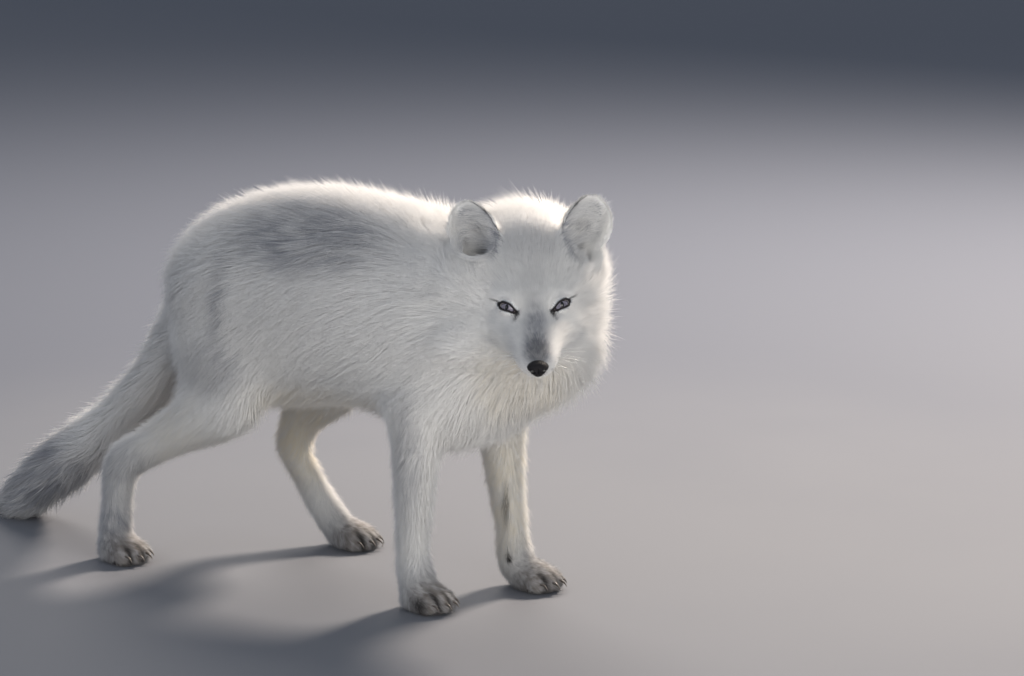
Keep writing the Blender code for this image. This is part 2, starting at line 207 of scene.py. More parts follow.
def normals_of(mesh: bpy.types.Mesh) -> Array:
    """The mesh's vertex normals."""
    return read_rows(mesh.vertex_normals, "vector", 3).astype(np.float64)


def write_points(mesh: bpy.types.Mesh, points: Array) -> None:
    """Moves the mesh's vertices."""
    mesh.vertices.foreach_set("co", np.ascontiguousarray(points, np.float32).ravel())
    mesh.update()


def write_values(mesh: bpy.types.Mesh, name: str, values: Array) -> None:
    """Keeps one number for each vertex under a name that a material can read."""
    kept = mesh.attributes.new(name, "FLOAT", "POINT")
    kept.data.foreach_set("value", np.ascontiguousarray(values, np.float32))


def tree_of(points: Array) -> KDTree:
    """A search tree of places.

    Args:
        points: The places.

    Returns:
        The tree, which numbers them in their order.
    """
    tree = KDTree(len(points))
    for number, point in enumerate(points):
        tree.insert(point, number)
    tree.balance()
    return tree


def nearest_in(tree: KDTree, places: Array) -> Array:
    """The number of the tree's place that is nearest to each of these places."""
    return np.array([tree.find(place)[1] for place in places])


def surface_of(points: Array, faces: Array) -> BVHTree:
    """A mesh that rays can be cast on."""
    return BVHTree.FromPolygons([Vector(point) for point in points],
                                [tuple(int(corner) for corner in face) for face in faces])


def carried(made: bpy.types.Object, slot: str, *replaced: str) -> None:
    """Puts a piece on the fox's one body.

    Args:
        made: The piece.
        slot: Its finish in the record; not used.
        replaced: The solids that it stands for.
    """
    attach(made, "root")
    if replaced:
        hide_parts(*replaced)
    LOG.info("%s: %d faces", made.name, len(made.data.polygons))


# ------------------------------------------------------------------ materials


class Sock:
    """A shader socket on which arithmetic adds Math nodes."""

    def __init__(self, look: Look, socket: bpy.types.NodeSocket) -> None:
        """Wraps one output socket of a look."""
        self.look, self.socket = look, socket

    def _with(self, operation: str, *values: Any) -> Sock:
        """One Math node."""
        sockets = dict(enumerate(values))
        return self.look.node("ShaderNodeMath", {"operation": operation}, sockets)

    def __add__(self, other: Any) -> Sock:
        """Sum."""
        return self._with("ADD", self, other)

    def __radd__(self, other: Any) -> Sock:
        """Sum."""
        return self._with("ADD", other, self)

    def __sub__(self, other: Any) -> Sock:
        """Difference."""
        return self._with("SUBTRACT", self, other)

    def __rsub__(self, other: Any) -> Sock:
        """Difference."""
        return self._with("SUBTRACT", other, self)

    def __mul__(self, other: Any) -> Sock:
        """Product."""
        return self._with("MULTIPLY", self, other)

    def __rmul__(self, other: Any) -> Sock:
        """Product."""
        return self._with("MULTIPLY", other, self)

    def step(self, low: float, high: float) -> Sock:
        """A smooth step from 0 at low to 1 at high."""
        sockets = {"Value": self, "From Min": low, "From Max": high}
        return self.look.node("ShaderNodeMapRange", {"interpolation_type": "SMOOTHSTEP"}, sockets)


class Look:
    """A material whose nodes are written as expressions."""

    def __init__(self, name: str) -> None:
        """Starts a material with one Principled shader.

        Args:
            name: The material's name.
        """
        self.material = bpy.data.materials.new(name)
        self.material.use_nodes = True
        self.tree = self.material.node_tree
        self.shader = self.tree.nodes["Principled BSDF"]

    def node(self, kind: str, settings: dict[str, Any] | None = None,
             sockets: dict[Any, Any] | None = None, output: int | str = 0) -> Sock:
        """Adds one node.

        Args:
            kind: The node's type.
            settings: Its settings, which are set first.
            sockets: Values or links of its sockets, by name or number.
            output: Which output to give back.

        Returns:
            The output socket.
        """
        made = self.tree.nodes.new(kind)
        for name, value in (settings or {}).items():
            setattr(made, name, value)
        for name, value in (sockets or {}).items():
            self.feed(made.inputs[name], value)
        return Sock(self, made.outputs[output])

    def feed(self, socket: bpy.types.NodeSocket, value: Any) -> None:
        """Links or sets one input.

        Args:
            socket: The input.
            value: A Sock, a colour or a number.
        """
        if isinstance(value, Sock):
            self.tree.links.new(value.socket, socket)
        elif isinstance(value, tuple) and len(value) == 3 and socket.type == "RGBA":
            socket.default_value = (*value, 1.0)
        else:
            socket.default_value = value

    def place(self) -> Sock:
        """The point's place in the fox's own frame."""
        return self.node("ShaderNodeTexCoord", output="Object")

    def value(self, name: str) -> Sock:
        """A number kept on the mesh."""
        return self.node("ShaderNodeAttribute", {"attribute_name": name}, output="Fac")

    def noise(self, scale: float, detail: float = 3.0, roughness: float = 0.5) -> Sock:
        """Noise that changes scale times in a metre."""
        sockets = {"Vector": self.place(), "Scale": scale, "Detail": detail, "Roughness": roughness}
        return self.node("ShaderNodeTexNoise", None, sockets)

    def mix(self, share: Any, first: Any, second: Any) -> Sock:
        """A colour between two colours."""
        settings = {"data_type": "RGBA", "clamp_factor": True}
        return self.node("ShaderNodeMix", settings, {0: share, 6: first, 7: second}, output=2)

    def bump(self, height: Sock, strength: float, distance_mm: float) -> Sock:
        """A normal bent by a height."""
        sockets = {"Height": height, "Strength": strength, "Distance": distance_mm * MM}
        return self.node("ShaderNodeBump", None, sockets)

    def surface(self, **inputs: Any) -> bpy.types.Material:
        """Sets the shader's inputs, whose names have _ for each space, and gives the material.

        Returns:
            The material.
        """
        for name, value in inputs.items():
            self.feed(self.shader.inputs[name.replace("_", " ")], value)
        return self.material


class Tone(Enum):
    """What a marking does to the white coat, and its colour."""

    CREAM = (0.80, 0.68, 0.46)
    GREY = (0.27, 0.28, 0.315)
    BROWN = (0.135, 0.105, 0.080)
    DARK = (0.014, 0.012, 0.013)


@dataclass(frozen=True)
class FurFinish:
    """White winter fur with its markings, for the skin and for the tufts."""

    name: str
    bare: bool = False  # True for the skin, which shows only at the lids and between tufts
    white: Triple = (0.875, 0.865, 0.845)
    root: Triple = (0.80, 0.79, 0.78)
    shaded: Triple = (0.37, 0.37, 0.39)
    roughness: float = 0.62

    def material(self) -> bpy.types.Material:
        """Builds the finish: white, then each marking, broken up by streaks.

        Returns:
            The material.
        """
        look = Look(self.name)
        streaks = look.noise(420, roughness=0.6)
        patches = look.noise(60, roughness=0.55)
        colour = look.mix(look.value("tip").step(-0.1, 0.75), self.root, self.white)
        for tone in (Tone.CREAM, Tone.GREY, Tone.BROWN):
            amount = look.value(tone.name.lower()) * (0.55 + 0.5 * patches + 0.45 * streaks)
            colour = look.mix(amount, colour, tone.value)
        colour = look.mix((1.0 - look.value("shade")) * 0.5, colour, self.shaded)
        colour = look.mix(look.value("dark"), colour, Tone.DARK.value)
        fine = look.noise(900 if self.bare else 1500, 4.0, 0.65)
        bent = look.bump(fine + streaks, 0.35 if self.bare else 0.15, 0.6)
        return look.surface(Base_Color=colour, Roughness=self.roughness, Normal=bent,
                            Specular_IOR_Level=0.25, Sheen_Weight=0.0 if self.bare else 0.30,
                            Sheen_Roughness=0.5)


@dataclass(frozen=True)
class EyeFinish:
    """A wet eye: a pale lilac-grey iris with a dark edge and a dark upright pupil."""

    iris: Triple = (0.20, 0.187, 0.235)
    inner: Triple = (0.115, 0.104, 0.13)
    ring: Triple = (0.030, 0.026, 0.034)
    white: Triple = (0.16, 0.13, 0.13)
    pupil: Triple = (0.004, 0.004, 0.005)

    def material(self) -> bpy.types.Material:
        """Builds the finish from the distances kept on the eye's mesh, which also carry a painted shadow
        of the upper lid that darkens the top of the iris towards its dark edge.

        Returns:
            The material.
        """
        look = Look("eye_wet")
        out, slit = look.value("from_axis"), look.value("from_slit")
        rays = look.noise(1400.0, 4.0)
        colour = look.mix(out.step(0.25, 0.9) * (0.45 + rays), self.inner, self.iris)
        colour = look.mix(out.step(0.80, 1.0), colour, self.ring)
        colour = look.mix(out.step(1.02, 1.22), colour, self.white)
        colour = look.mix(1.0 - slit.step(0.85, 1.15), colour, self.pupil)
        return look.surface(Base_Color=colour, Roughness=0.18, Coat_Weight=0.5, Coat_Roughness=0.03,
                            Specular_IOR_Level=0.2)


@dataclass(frozen=True)
class LeatherFinish:
    """Dark bare skin, such as the nose, the lips and the pads."""

    name: str
    colour: Triple
    paler: Triple
    roughness: float
    grain_mm: float

    def material(self) -> bpy.types.Material:
        """Builds the finish with a cobbled grain.

        Returns:
            The material.
        """
        look = Look(self.name)
        cells = look.node("ShaderNodeTexVoronoi", {"feature": "DISTANCE_TO_EDGE"},
                          {"Vector": look.place(), "Scale": 1000 / self.grain_mm})
        wear = look.noise(260)
        colour = look.mix(wear.step(0.45, 0.8), self.colour, self.paler)
        return look.surface(Base_Color=colour, Roughness=self.roughness + 0.18 * wear,
                            Normal=look.bump(cells.step(0.0, 0.25), 0.55, 0.25), Specular_IOR_Level=0.25)


@dataclass(frozen=True)
class HornFinish:
    """Claws: dark horn that pales a little at the tip."""

    colour: Triple = (0.085, 0.070, 0.060)
    paler: Triple = (0.19, 0.165, 0.14)

    def material(self) -> bpy.types.Material:
        """Builds the finish with lengthwise streaks.

        Returns:
            The material.
        """
        look = Look("claw_horn")
        grain = look.noise(700)
        towards_tip = look.value("tip").step(0.35, 1.0) * (0.4 + 0.6 * grain)
        colour = look.mix(towards_tip, self.colour, self.paler)
        return look.surface(Base_Color=colour, Roughness=0.3 + 0.2 * grain,
                            Normal=look.bump(grain, 0.2, 0.15))


@dataclass(frozen=True)
class HairFinish:
    """Whiskers: pale stiff hair."""

    colour: Triple = (0.62, 0.61, 0.59)
    darker: Triple = (0.30, 0.29, 0.29)

    def material(self) -> bpy.types.Material:
        """Builds the finish, darker towards the root.

        Returns:
            The material.
        """
        look = Look("whisker_hair")
        colour = look.mix(look.value("tip").step(0.0, 0.35), self.darker, self.colour)
        return look.surface(Base_Color=colour, Roughness=0.35)


@dataclass(frozen=True)
class FloorFinish:
    """The studio's floor, in the pale blue grey of shaded snow, with a painted pool of light round the
    model.
    """

    # near is painted light, paler round the model; far is the floor's own tone further out
    near: Triple = (0.155, 0.162, 0.182)
    far: Triple = (0.104, 0.114, 0.142)

    def material(self) -> bpy.types.Material:
        """Builds the finish with a painted pool of light, paler near the model, and a faint unevenness.

        Returns:
            The material.
        """
        look = Look("floor_pale")
        uneven = look.noise(3.0)
        away = look.node("ShaderNodeVectorMath", {"operation": "LENGTH"}, {0: look.place()}, "Value")
        colour = look.mix((away + uneven * 0.3).step(0.4, 1.2), self.near, self.far)
        return look.surface(Base_Color=colour, Roughness=0.75)


# ------------------------------------------------------------------ the head's own frame


@dataclass
class Head:
    """Where the head is and how it is turned. Places on it are across (to its right), ahead and up."""

    turn_deg: float = 54.0
    drop_deg: float = 24.5
    lean_deg: float = 3.0
    origin: Array = field(init=False)
    axes: Array = field(init=False)
    eyes: dict[str, Array] = field(init=False)
    nose: Array = field(init=False)

    def __post_init__(self) -> None:
        """Reads the eyes' and the nose's places from the frame."""
        self.eyes = {side: self.middle("eye_" + side) for side in ("left", "right")}
        self.nose = self.middle("nose")
        self.origin = (self.eyes["left"] + self.eyes["right"]) / 2
        turned = (Matrix.Rotation(math.radians(180 - self.turn_deg), 3, "Z")
                  @ Matrix.Rotation(math.radians(-self.drop_deg), 3, "X")
                  @ Matrix.Rotation(math.radians(self.lean_deg), 3, "Y"))
        self.axes = np.array(turned)

    @staticmethod
    def middle(node: str) -> Array:
        """The middle of a node's box."""
        low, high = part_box(node)
        return np.array((low + high) / 2)

    def inside(self, points: Array) -> Array:
        """Places in the head's frame, in millimetres."""
        return (points - self.origin) @ self.axes / MM

    def outside(self, places: Any) -> Array:
        """Places in the fox's frame, in metres, from the head's frame."""
        return self.origin + np.asarray(places, float) @ self.axes.T * MM

    def way(self, across: float, ahead: float, up: float) -> Array:
        """A direction of the head in the fox's frame."""
        return unit(self.axes @ np.array((across, ahead, up), float))


# ------------------------------------------------------------------ regions of the coat


@dataclass(frozen=True)
class Pelt:
    """The coat on one region of the body, in millimetres and shares."""

    depth: float  # from the skin to the tips
    length: float
    width: float
    density: float  # tufts on a square millimetre, before all are scaled to the triangles allowed
    streak: float  # how much darker a lock can be than its neighbours
    wave: float = 0.18  # how far the lie wanders
    clump: float = 0.20  # how far a lock's tips are drawn together
    loft: float = 0.0  # how far the tips stand off beyond the depth
    soft: float = 0.88  # how far a tuft is shaded as one surface with its neighbours


class Region(Enum):
    """The regions, each with its nodes and its coat."""

    TRUNK = (("trunk",), Pelt(11.0, 25, 0.44, 0.62, 0.42, soft=0.78))
    NECK = (("neck",), Pelt(14.0, 28, 0.44, 0.66, 0.36, wave=0.30, loft=1.5, soft=0.78))
    TAIL = (("tail_base", "tail_tip"), Pelt(12.0, 32, 0.50, 0.66, 0.40, clump=0.30, loft=1.0))
    THIGH = (("thigh_left", "thigh_right"), Pelt(9.0, 22, 0.44, 0.66, 0.45, loft=0.8, soft=0.78))
    SHANK = (("shank_left", "shank_right"), Pelt(5.0, 15, 0.44, 0.85, 0.45, loft=0.6, soft=0.80))
    FORELEG = (("foreleg_left", "foreleg_right"), Pelt(4.8, 15, 0.44, 0.90, 0.45, loft=0.6, soft=0.80))
    PAW = (("forepaw_left", "forepaw_right"), Pelt(2.6, 7.5, 0.42, 1.8, 0.80, loft=0.5, soft=0.60))
    HINDPAW = (("hindpaw_left", "hindpaw_right"), Pelt(2.8, 8.5, 0.42, 1.7, 0.80, loft=0.5, soft=0.60))
    HEAD = (("head",), Pelt(8.0, 12, 0.42, 1.7, 0.70, wave=0.14, soft=0.62))
    EAR_LEFT = (("ear_left",), Pelt(1.3, 6.5, 0.42, 2.4, 0.50, wave=0.14, loft=0.5, soft=0.12))
    EAR_RIGHT = (("ear_right",), Pelt(1.3, 6.5, 0.42, 2.4, 0.50, wave=0.14, loft=0.5, soft=0.12))

    @property
    def nodes(self) -> tuple[str, ...]:
        """The solids of this region."""
        return self.value[0]

    @property
    def pelt(self) -> Pelt:
        """The coat of this region."""
        return self.value[1]


FLESH = tuple(node for region in Region for node in region.nodes)
SENSES = ("eye_left", "eye_right", "nose")  # solids that fill their sockets in the skin
REGIONS = tuple(Region)


@dataclass(frozen=True)
class HeadCoat:
    """One number of the coat on the parts of the head."""

    plain: float
    muzzle: float
    jaw: float
    by_eye: float
    by_ear: float


HEAD_COAT = {
    "depth": HeadCoat(4.4, 1.6, 3.4, 1.8, 3.4),
    "length": HeadCoat(9.5, 4.2, 13.0, 4.0, 19.0),
    "width": HeadCoat(0.42, 0.34, 0.40, 0.32, 0.44),
    "density": HeadCoat(2.2, 4.0, 2.4, 3.8, 2.5),
    "streak": HeadCoat(0.75, 0.60, 0.45, 0.40, 0.55),
    "loft": HeadCoat(0.8, 0.3, 3.6, 0.0, 2.4),
    "soft": HeadCoat(0.66, 0.72, 0.80, 0.85, 0.50),
}
IN_EARS = {"depth": 2.0, "length": 13.0, "width": 0.46, "density": 1.1,
           "streak": 0.5, "loft": 3.0, "soft": 0.3}
PELT_NUMBERS = ("depth", "length", "width", "density", "streak", "wave", "clump", "loft", "soft")


@dataclass
class Foot:
    """One foot: where its claws and pads belong, read from its node."""

    node: str
    solid: bpy.types.Object
    spread: float = 9.84  # from toe to toe
    toe_height: float = 12.0
    toe_length: float = 24.0
    to_middle: float = 32.3  # from the foremost point of the toes
    gap: float = 2.5  # half the width of the painted shade in a gap between toes
    claw_length: float = 7.6
    claw_radius: float = 1.3
    claw_ahead: float = 7.2  # of its toe's middle
    claw_height: float = 9.2
    claw_drop: float = 5.2
    pad_thickness: float = 2.6
    pad_height: float = 2.85
    middle: Array = field(init=False)

    def __post_init__(self) -> None:
        """Finds the middle of the foot from the front part of its solid near the ground."""
        points = points_of(self.solid.data) / MM
        low = points[points[:, 2] < self.toe_height]
        front = low[:, 1].min()
        toes = low[low[:, 1] < front + self.toe_length]
        self.middle = np.array(((toes[:, 0].min() + toes[:, 0].max()) / 2, front + self.to_middle))

    def inside(self, points: Array) -> Array:
        """Places across from the foot's middle, ahead of it and above the ground, in millimetres."""
        x, y, z = (points / MM).T
        return np.stack((x - self.middle[0], self.middle[1] - y, z), axis=1)

    def away(self, place: Array) -> Array:
        """How far a place in the foot's frame is from its middle, along the ground."""
        return np.hypot(place[:, 0], place[:, 1])

    def toes(self) -> list[tuple[float, float]]:
        """Each toe's place: across and ahead."""
        shares = ((-1.45, 12), (-0.5, 18), (0.5, 18), (1.45, 12))
        return [(across * self.spread, ahead) for across, ahead in shares]

    def shade_between_toes(self, place: Array) -> Array:
        """How deep places lie in the painted shade of the three gaps between the toes.

        Args:
            place: Places in the foot's frame.

        Returns:
            Numbers from 0 to 1.
        """
        found = np.zeros(len(place))
        for (x0, y0), (x1, y1) in zip(self.toes(), self.toes()[1:]):
            x = (x0 + x1) / 2
            start = (y0 + y1) / 2
            drift = x * 0.020 * (place[:, 1] - start)  # the gaps spread towards the front
            near = np.exp(-((place[:, 0] - x - drift) / self.gap) ** 2)
            ahead = rise(place[:, 1], start - 8, start + 2)
            found = np.maximum(found, near * ahead * rise(place[:, 2], 23, 14))
        return found

    def claws(self) -> list[Tube]:
        """A curved, pointed claw on each toe.

        Returns:
            One tube for each.
        """
        found, steps, bend = [], 7, 1.2
        for x, y in self.toes():
            stations = []
            for step in range(steps + 1):
                t = step / steps
                ahead = self.middle[1] - y - self.claw_ahead - self.claw_length * math.sin(t * bend)
                height = self.claw_height - self.claw_drop * (1 - math.cos(t * bend)) * 1.35
                place = np.array((self.middle[0] + x, ahead, height))
                stations.append((place * MM, self.claw_radius * (1 - 0.9 * t**1.5) * MM))
            found.append(tube(stations, 8))
        return found

    def pads(self) -> list[Tube]:
        """The toes' pads and the large one behind them, just showing between the hairs.

        Returns:
            One rounded piece for each.
        """
        found = []
        places = [(x, y - 1, 3.4, 4.6) for x, y in self.toes()] + [(0, -1, 8.0, 6.0)]
        for x, y, wide, long in places:
            points, faces = grid_ball(12, 18)
            centre = np.array((self.middle[0] + x, self.middle[1] - y, self.pad_height))
            placed = points * np.array((wide, long, self.pad_thickness)) + centre
            found.append((placed * MM, faces, np.zeros(len(points))))
        return found


@dataclass
class Ear:
    """One ear's own frame: outward, towards its opening, and up along it."""

    head: Head
    side: int  # +1 on the head's right
    length: float = 58.0
    lean: float = 3.0  # how far its tip lies outward of its foot
    foot: Array = field(init=False)
    axes: Array = field(init=False)

    def __post_init__(self) -> None:
        """Works out the frame from the same driving values as the solid."""
        opening = unit(np.array((self.side * 0.30, 0.93, 0.20)))
        up = np.array((self.side * 0.12, -0.10, 0.98))
        up = unit(up - opening * (up @ opening))
        outward = np.cross(opening, up) * self.side
        self.foot = np.array((self.side * 41.0, -44.0, 5.3))
        self.axes = np.stack((outward, opening, up), axis=1)

    def inside(self, points: Array) -> Array:
        """Places in the ear's frame, in millimetres."""
        return (self.head.inside(points) - self.foot) @ self.axes

    def way(self, outward: float, opening: float, up: float) -> Array:
        """A direction of the ear in the fox's frame."""
        return self.head.way(*(self.axes @ np.array((outward, opening, up))))

    def near_tip(self, points: Array) -> Array:
        """How near points of the ear are to its tip, from 0 to 1."""
        place = self.inside(points)
        away = np.linalg.norm(place - np.array((0, -6, 30)), axis=1)
        return rise(place[:, 2], 40, 56) * (away < 42)

    def half_width(self, height: Array) -> Array:
        """Half the ear's width at a height above its foot."""
        heights = np.array((0, 0.22, 0.48, 0.70, 0.85, 0.95, 1.0)) * self.length
        return np.interp(height, heights, (17, 21, 23.2, 21, 16, 9.5, 4))

    def across(self, place: Array) -> Array:
        """How far outward a place in the ear's frame lies, as a share of half the ear's width."""
        return (place[:, 0] - self.lean * place[:, 2] / self.length) / self.half_width(place[:, 2])

    def front(self, points: Array) -> Array:
        """How far points belong to the ear's front, its edges with it.

        Args:
            points: Places in metres.

        Returns:
            Numbers from 0 to 1.
        """
        place = self.inside(points)
        across = self.across(place)
        hollow = 16 * np.clip(1 - place[:, 2] / self.length, 0, 1) ** 0.8 + 2  # the cup's depth
        back = -hollow * np.clip(1 - across**2, 0, 1)
        shown = rise(place[:, 1] - back, -3.2, -1.2) * rise(place[:, 1], 17, 9)
        return shown * rise(np.abs(across), 1.30, 1.02) * rise(place[:, 2], -10, -2)

    def within(self, points: Array) -> Array:
        """How far points belong to the grey inside of the cup.

        Args:
            points: Places in metres.

        Returns:
            Numbers from 0 to 1.
        """
        place = self.inside(points)
        across = self.across(place)
        inner = rise(across, 0.70, 0.50) * rise(across, -0.94, -0.80)
        low = rise(place[:, 2] - 10 * rise(across, -0.1, 0.4), 2, 16)
        return self.front(points) * inner * low * rise(place[:, 2], 56, 48)

    def around_foot(self, points: Array) -> Array:
        """How far a point belongs to the head's fur that rises over the ear's foot."""
        place = self.inside(points) - np.array((2, -2, 5))
        return 0.92 * rise(np.linalg.norm(place / np.array((31, 25, 25)), axis=1), 1.28, 0.78)

    def fold(self, points: Array) -> Array:
        """The painted shadow of the fold: a thin dark line inside the edge nearest the crown.

        Args:
            points: Places in metres.

        Returns:
            Numbers from 0 to 1.
        """
        place = self.inside(points)
        edge = self.lean * place[:, 2] / self.length - self.half_width(place[:, 2]) * 0.96 + 2.6
        near = np.exp(-((place[:, 0] - edge) / 1.15) ** 2)
        near = near * rise(place[:, 1], -12, -6) * rise(place[:, 1], 14, 8)
        return near * rise(place[:, 2], 24, 32) * rise(place[:, 2], 60, 55)

    def cup_shade(self, points: Array) -> Array:
        """The painted shade at the bottom of the cup, lower towards the crown.

        Args:
            points: Places in metres.

        Returns:
            Numbers from 0 to 1.
        """
        place = self.inside(points)
        level = place[:, 2] - 12.5 - 0.32 * place[:, 0]
        away = np.hypot((place[:, 0] + 1.5) / 8.5, level / 3.1)
        return rise(away, 1.15, 0.35) * rise(place[:, 1], -26, -20) * rise(place[:, 1], 5, -2)


class Frame(Enum):
    """The frames in which markings are placed."""

    FOX = "the fox's own"
    HEAD = "the head's, the same on both sides"
    EYE = "each eye's: to the outer corner, up, and out"
    PAW = "each paw's: across from its middle, ahead, and up"


@dataclass(frozen=True)
class Mark:
    """A soft-edged oval marking."""

    tone: Tone
    frame: Frame
    at: Triple
    radii: Triple
    strength: float
    soft: float = 0.55  # the share of the radius over which it fades


MARKS = (  # later ones lie over earlier ones
    Mark(Tone.GREY, Frame.FOX, (0, -10, 335), (75, 190, 62), 0.20),  # saddle
    Mark(Tone.GREY, Frame.FOX, (-60, -72, 292), (45, 85, 34), 0.66),
    Mark(Tone.GREY, Frame.FOX, (60, -72, 292), (45, 85, 34), 0.40),
    Mark(Tone.GREY, Frame.FOX, (-80, 10, 255), (50, 120, 60), 0.14),
    Mark(Tone.GREY, Frame.FOX, (80, 10, 255), (50, 120, 60), 0.14),
    Mark(Tone.GREY, Frame.FOX, (-80, 6, 238), (26, 8, 48), 0.66),  # a streak on each hip
    Mark(Tone.GREY, Frame.FOX, (80, 6, 238), (26, 8, 48), 0.40),
    Mark(Tone.GREY, Frame.FOX, (-82, 14, 178), (30, 36, 28), 0.42),  # thighs
    Mark(Tone.GREY, Frame.FOX, (80, 0, 178), (30, 34, 26), 0.24),
    Mark(Tone.GREY, Frame.FOX, (-80, 110, 55), (40, 42, 55), 0.50),  # painted shade on the right hind leg
    Mark(Tone.GREY, Frame.FOX, (-74, -178, 115), (18, 16, 74), 0.46),  # the right foreleg's front
    Mark(Tone.DARK, Frame.FOX, (34, -205, 67), (2.0, 7, 22), 0.70),  # the left foreleg's streak
    Mark(Tone.DARK, Frame.FOX, (33, -206, 26), (3.0, 4.0, 5.5), 1.0, soft=0.3),
    Mark(Tone.CREAM, Frame.FOX, (48, -195, 80), (40, 45, 90), 0.30),
    Mark(Tone.CREAM, Frame.FOX, (60, 25, 110), (45, 70, 60), 0.40),  # the left hind leg
    Mark(Tone.CREAM, Frame.FOX, (-60, 60, 120), (30, 60, 40), 0.16),
    Mark(Tone.CREAM, Frame.FOX, (0, -60, 150), (70, 150, 30), 0.30),  # belly
    Mark(Tone.CREAM, Frame.FOX, (-35, -265, 185), (55, 40, 50), 0.24),  # throat
    Mark(Tone.GREY, Frame.FOX, (0, 150, 170), (45, 75, 70), 0.24),  # tail: painted shade, light at its base
    # painted shade, deep on the tail's lower end near the ground
    Mark(Tone.GREY, Frame.FOX, (0, 275, 50), (45, 95, 65), 0.84),
    Mark(Tone.GREY, Frame.HEAD, (0, -40, 34), (30, 24, 18), 0.24),  # forehead
    Mark(Tone.GREY, Frame.HEAD, (0, -8, 16), (12, 26, 14), 0.14),
    Mark(Tone.GREY, Frame.HEAD, (0, 16, 4), (9, 20, 12), 0.36),  # bridge of the muzzle
    Mark(Tone.GREY, Frame.HEAD, (0, 32, 0), (12, 24, 12), 0.50),
    Mark(Tone.GREY, Frame.HEAD, (0, 50, -6), (13.5, 20, 11), 0.84),
    Mark(Tone.DARK, Frame.HEAD, (0, 51, -6), (9.5, 19, 9), 0.46),
    Mark(Tone.DARK, Frame.HEAD, (0, 61, -15.8), (6.6, 7.0, 5.2), 1.0, soft=0.3),  # under the nose
    Mark(Tone.GREY, Frame.HEAD, (34, 10, -21), (12, 14, 1.9), 0.30),  # painted shade of the crease behind the mouth's corner
    Mark(Tone.DARK, Frame.EYE, (-10.6, -1.8, 4), (2.6, 3.0, 8), 0.95),  # tear line
    Mark(Tone.DARK, Frame.EYE, (-11.6, -5.2, 4), (1.9, 4.2, 8), 0.60),
    Mark(Tone.DARK, Frame.EYE, (12.6, 1.4, 4), (6.0, 1.0, 8), 0.66),  # a streak behind the outer corner
    Mark(Tone.BROWN, Frame.PAW, (0, 20, 5), (36, 34, 26), 0.62),
    Mark(Tone.GREY, Frame.PAW, (0, 10, 10), (36, 38, 34), 0.60),
)


@dataclass
class Markings:
    """The same markings for skin and tufts."""

    head: Head
    eyes: Sequence[EyeOpening]
    ears: Sequence[Ear]
    feet: Sequence[Foot]

    def places(self, points: Array) -> dict[Frame, list[Array]]:
        """The points in every frame of each kind, in millimetres.

        Args:
            points: Places in metres.

        Returns:
            For each kind, the places in each of its frames.
        """
        on_head = self.head.inside(points)
        on_head[:, 0] = np.abs(on_head[:, 0])
        return {
            Frame.FOX: [points / MM],
            Frame.HEAD: [on_head],
            Frame.EYE: [eye.inside(points) for eye in self.eyes],
            Frame.PAW: [foot.inside(points) for foot in self.feet],
        }

    def weights(self, points: Array) -> dict[Tone, Array]:
        """How strong each tone is.

        Args:
            points: Places in the fox's frame, in metres.

        Returns:
            For each tone, a number from 0 to 1 at each point.
        """
        places = self.places(points)
        found = {tone: np.zeros(len(points)) for tone in Tone}

        def add(tone: Tone, amount: Array) -> None:
            """Lays more of a tone over what is there."""
            found[tone] = 1 - (1 - found[tone]) * (1 - np.clip(amount, 0, 1))

        for mark in MARKS:
            for place in places[mark.frame]:
                away = np.linalg.norm((place - np.array(mark.at)) / np.array(mark.radii), axis=1)
                add(mark.tone, mark.strength * rise(away, 1 + mark.soft / 2, 1 - mark.soft))
        for ear in self.ears:
            add(Tone.GREY, 0.92 * ear.within(points))
            # painted shadow along each ear's fold
            add(Tone.DARK, 0.90 * ear.fold(points))
            # painted shade at the bottom of each ear's cup
            add(Tone.DARK, 0.42 * ear.cup_shade(points))
        for place, foot in zip(places[Frame.PAW], self.feet):
            # painted shade in the gaps between the toes
            add(Tone.DARK, foot.shade_between_toes(place))
            add(Tone.DARK, 0.55 * rise(place[:, 2], 4.0, 1.2) * rise(foot.away(place), 34, 28))
        return found


# ------------------------------------------------------------------ the skin


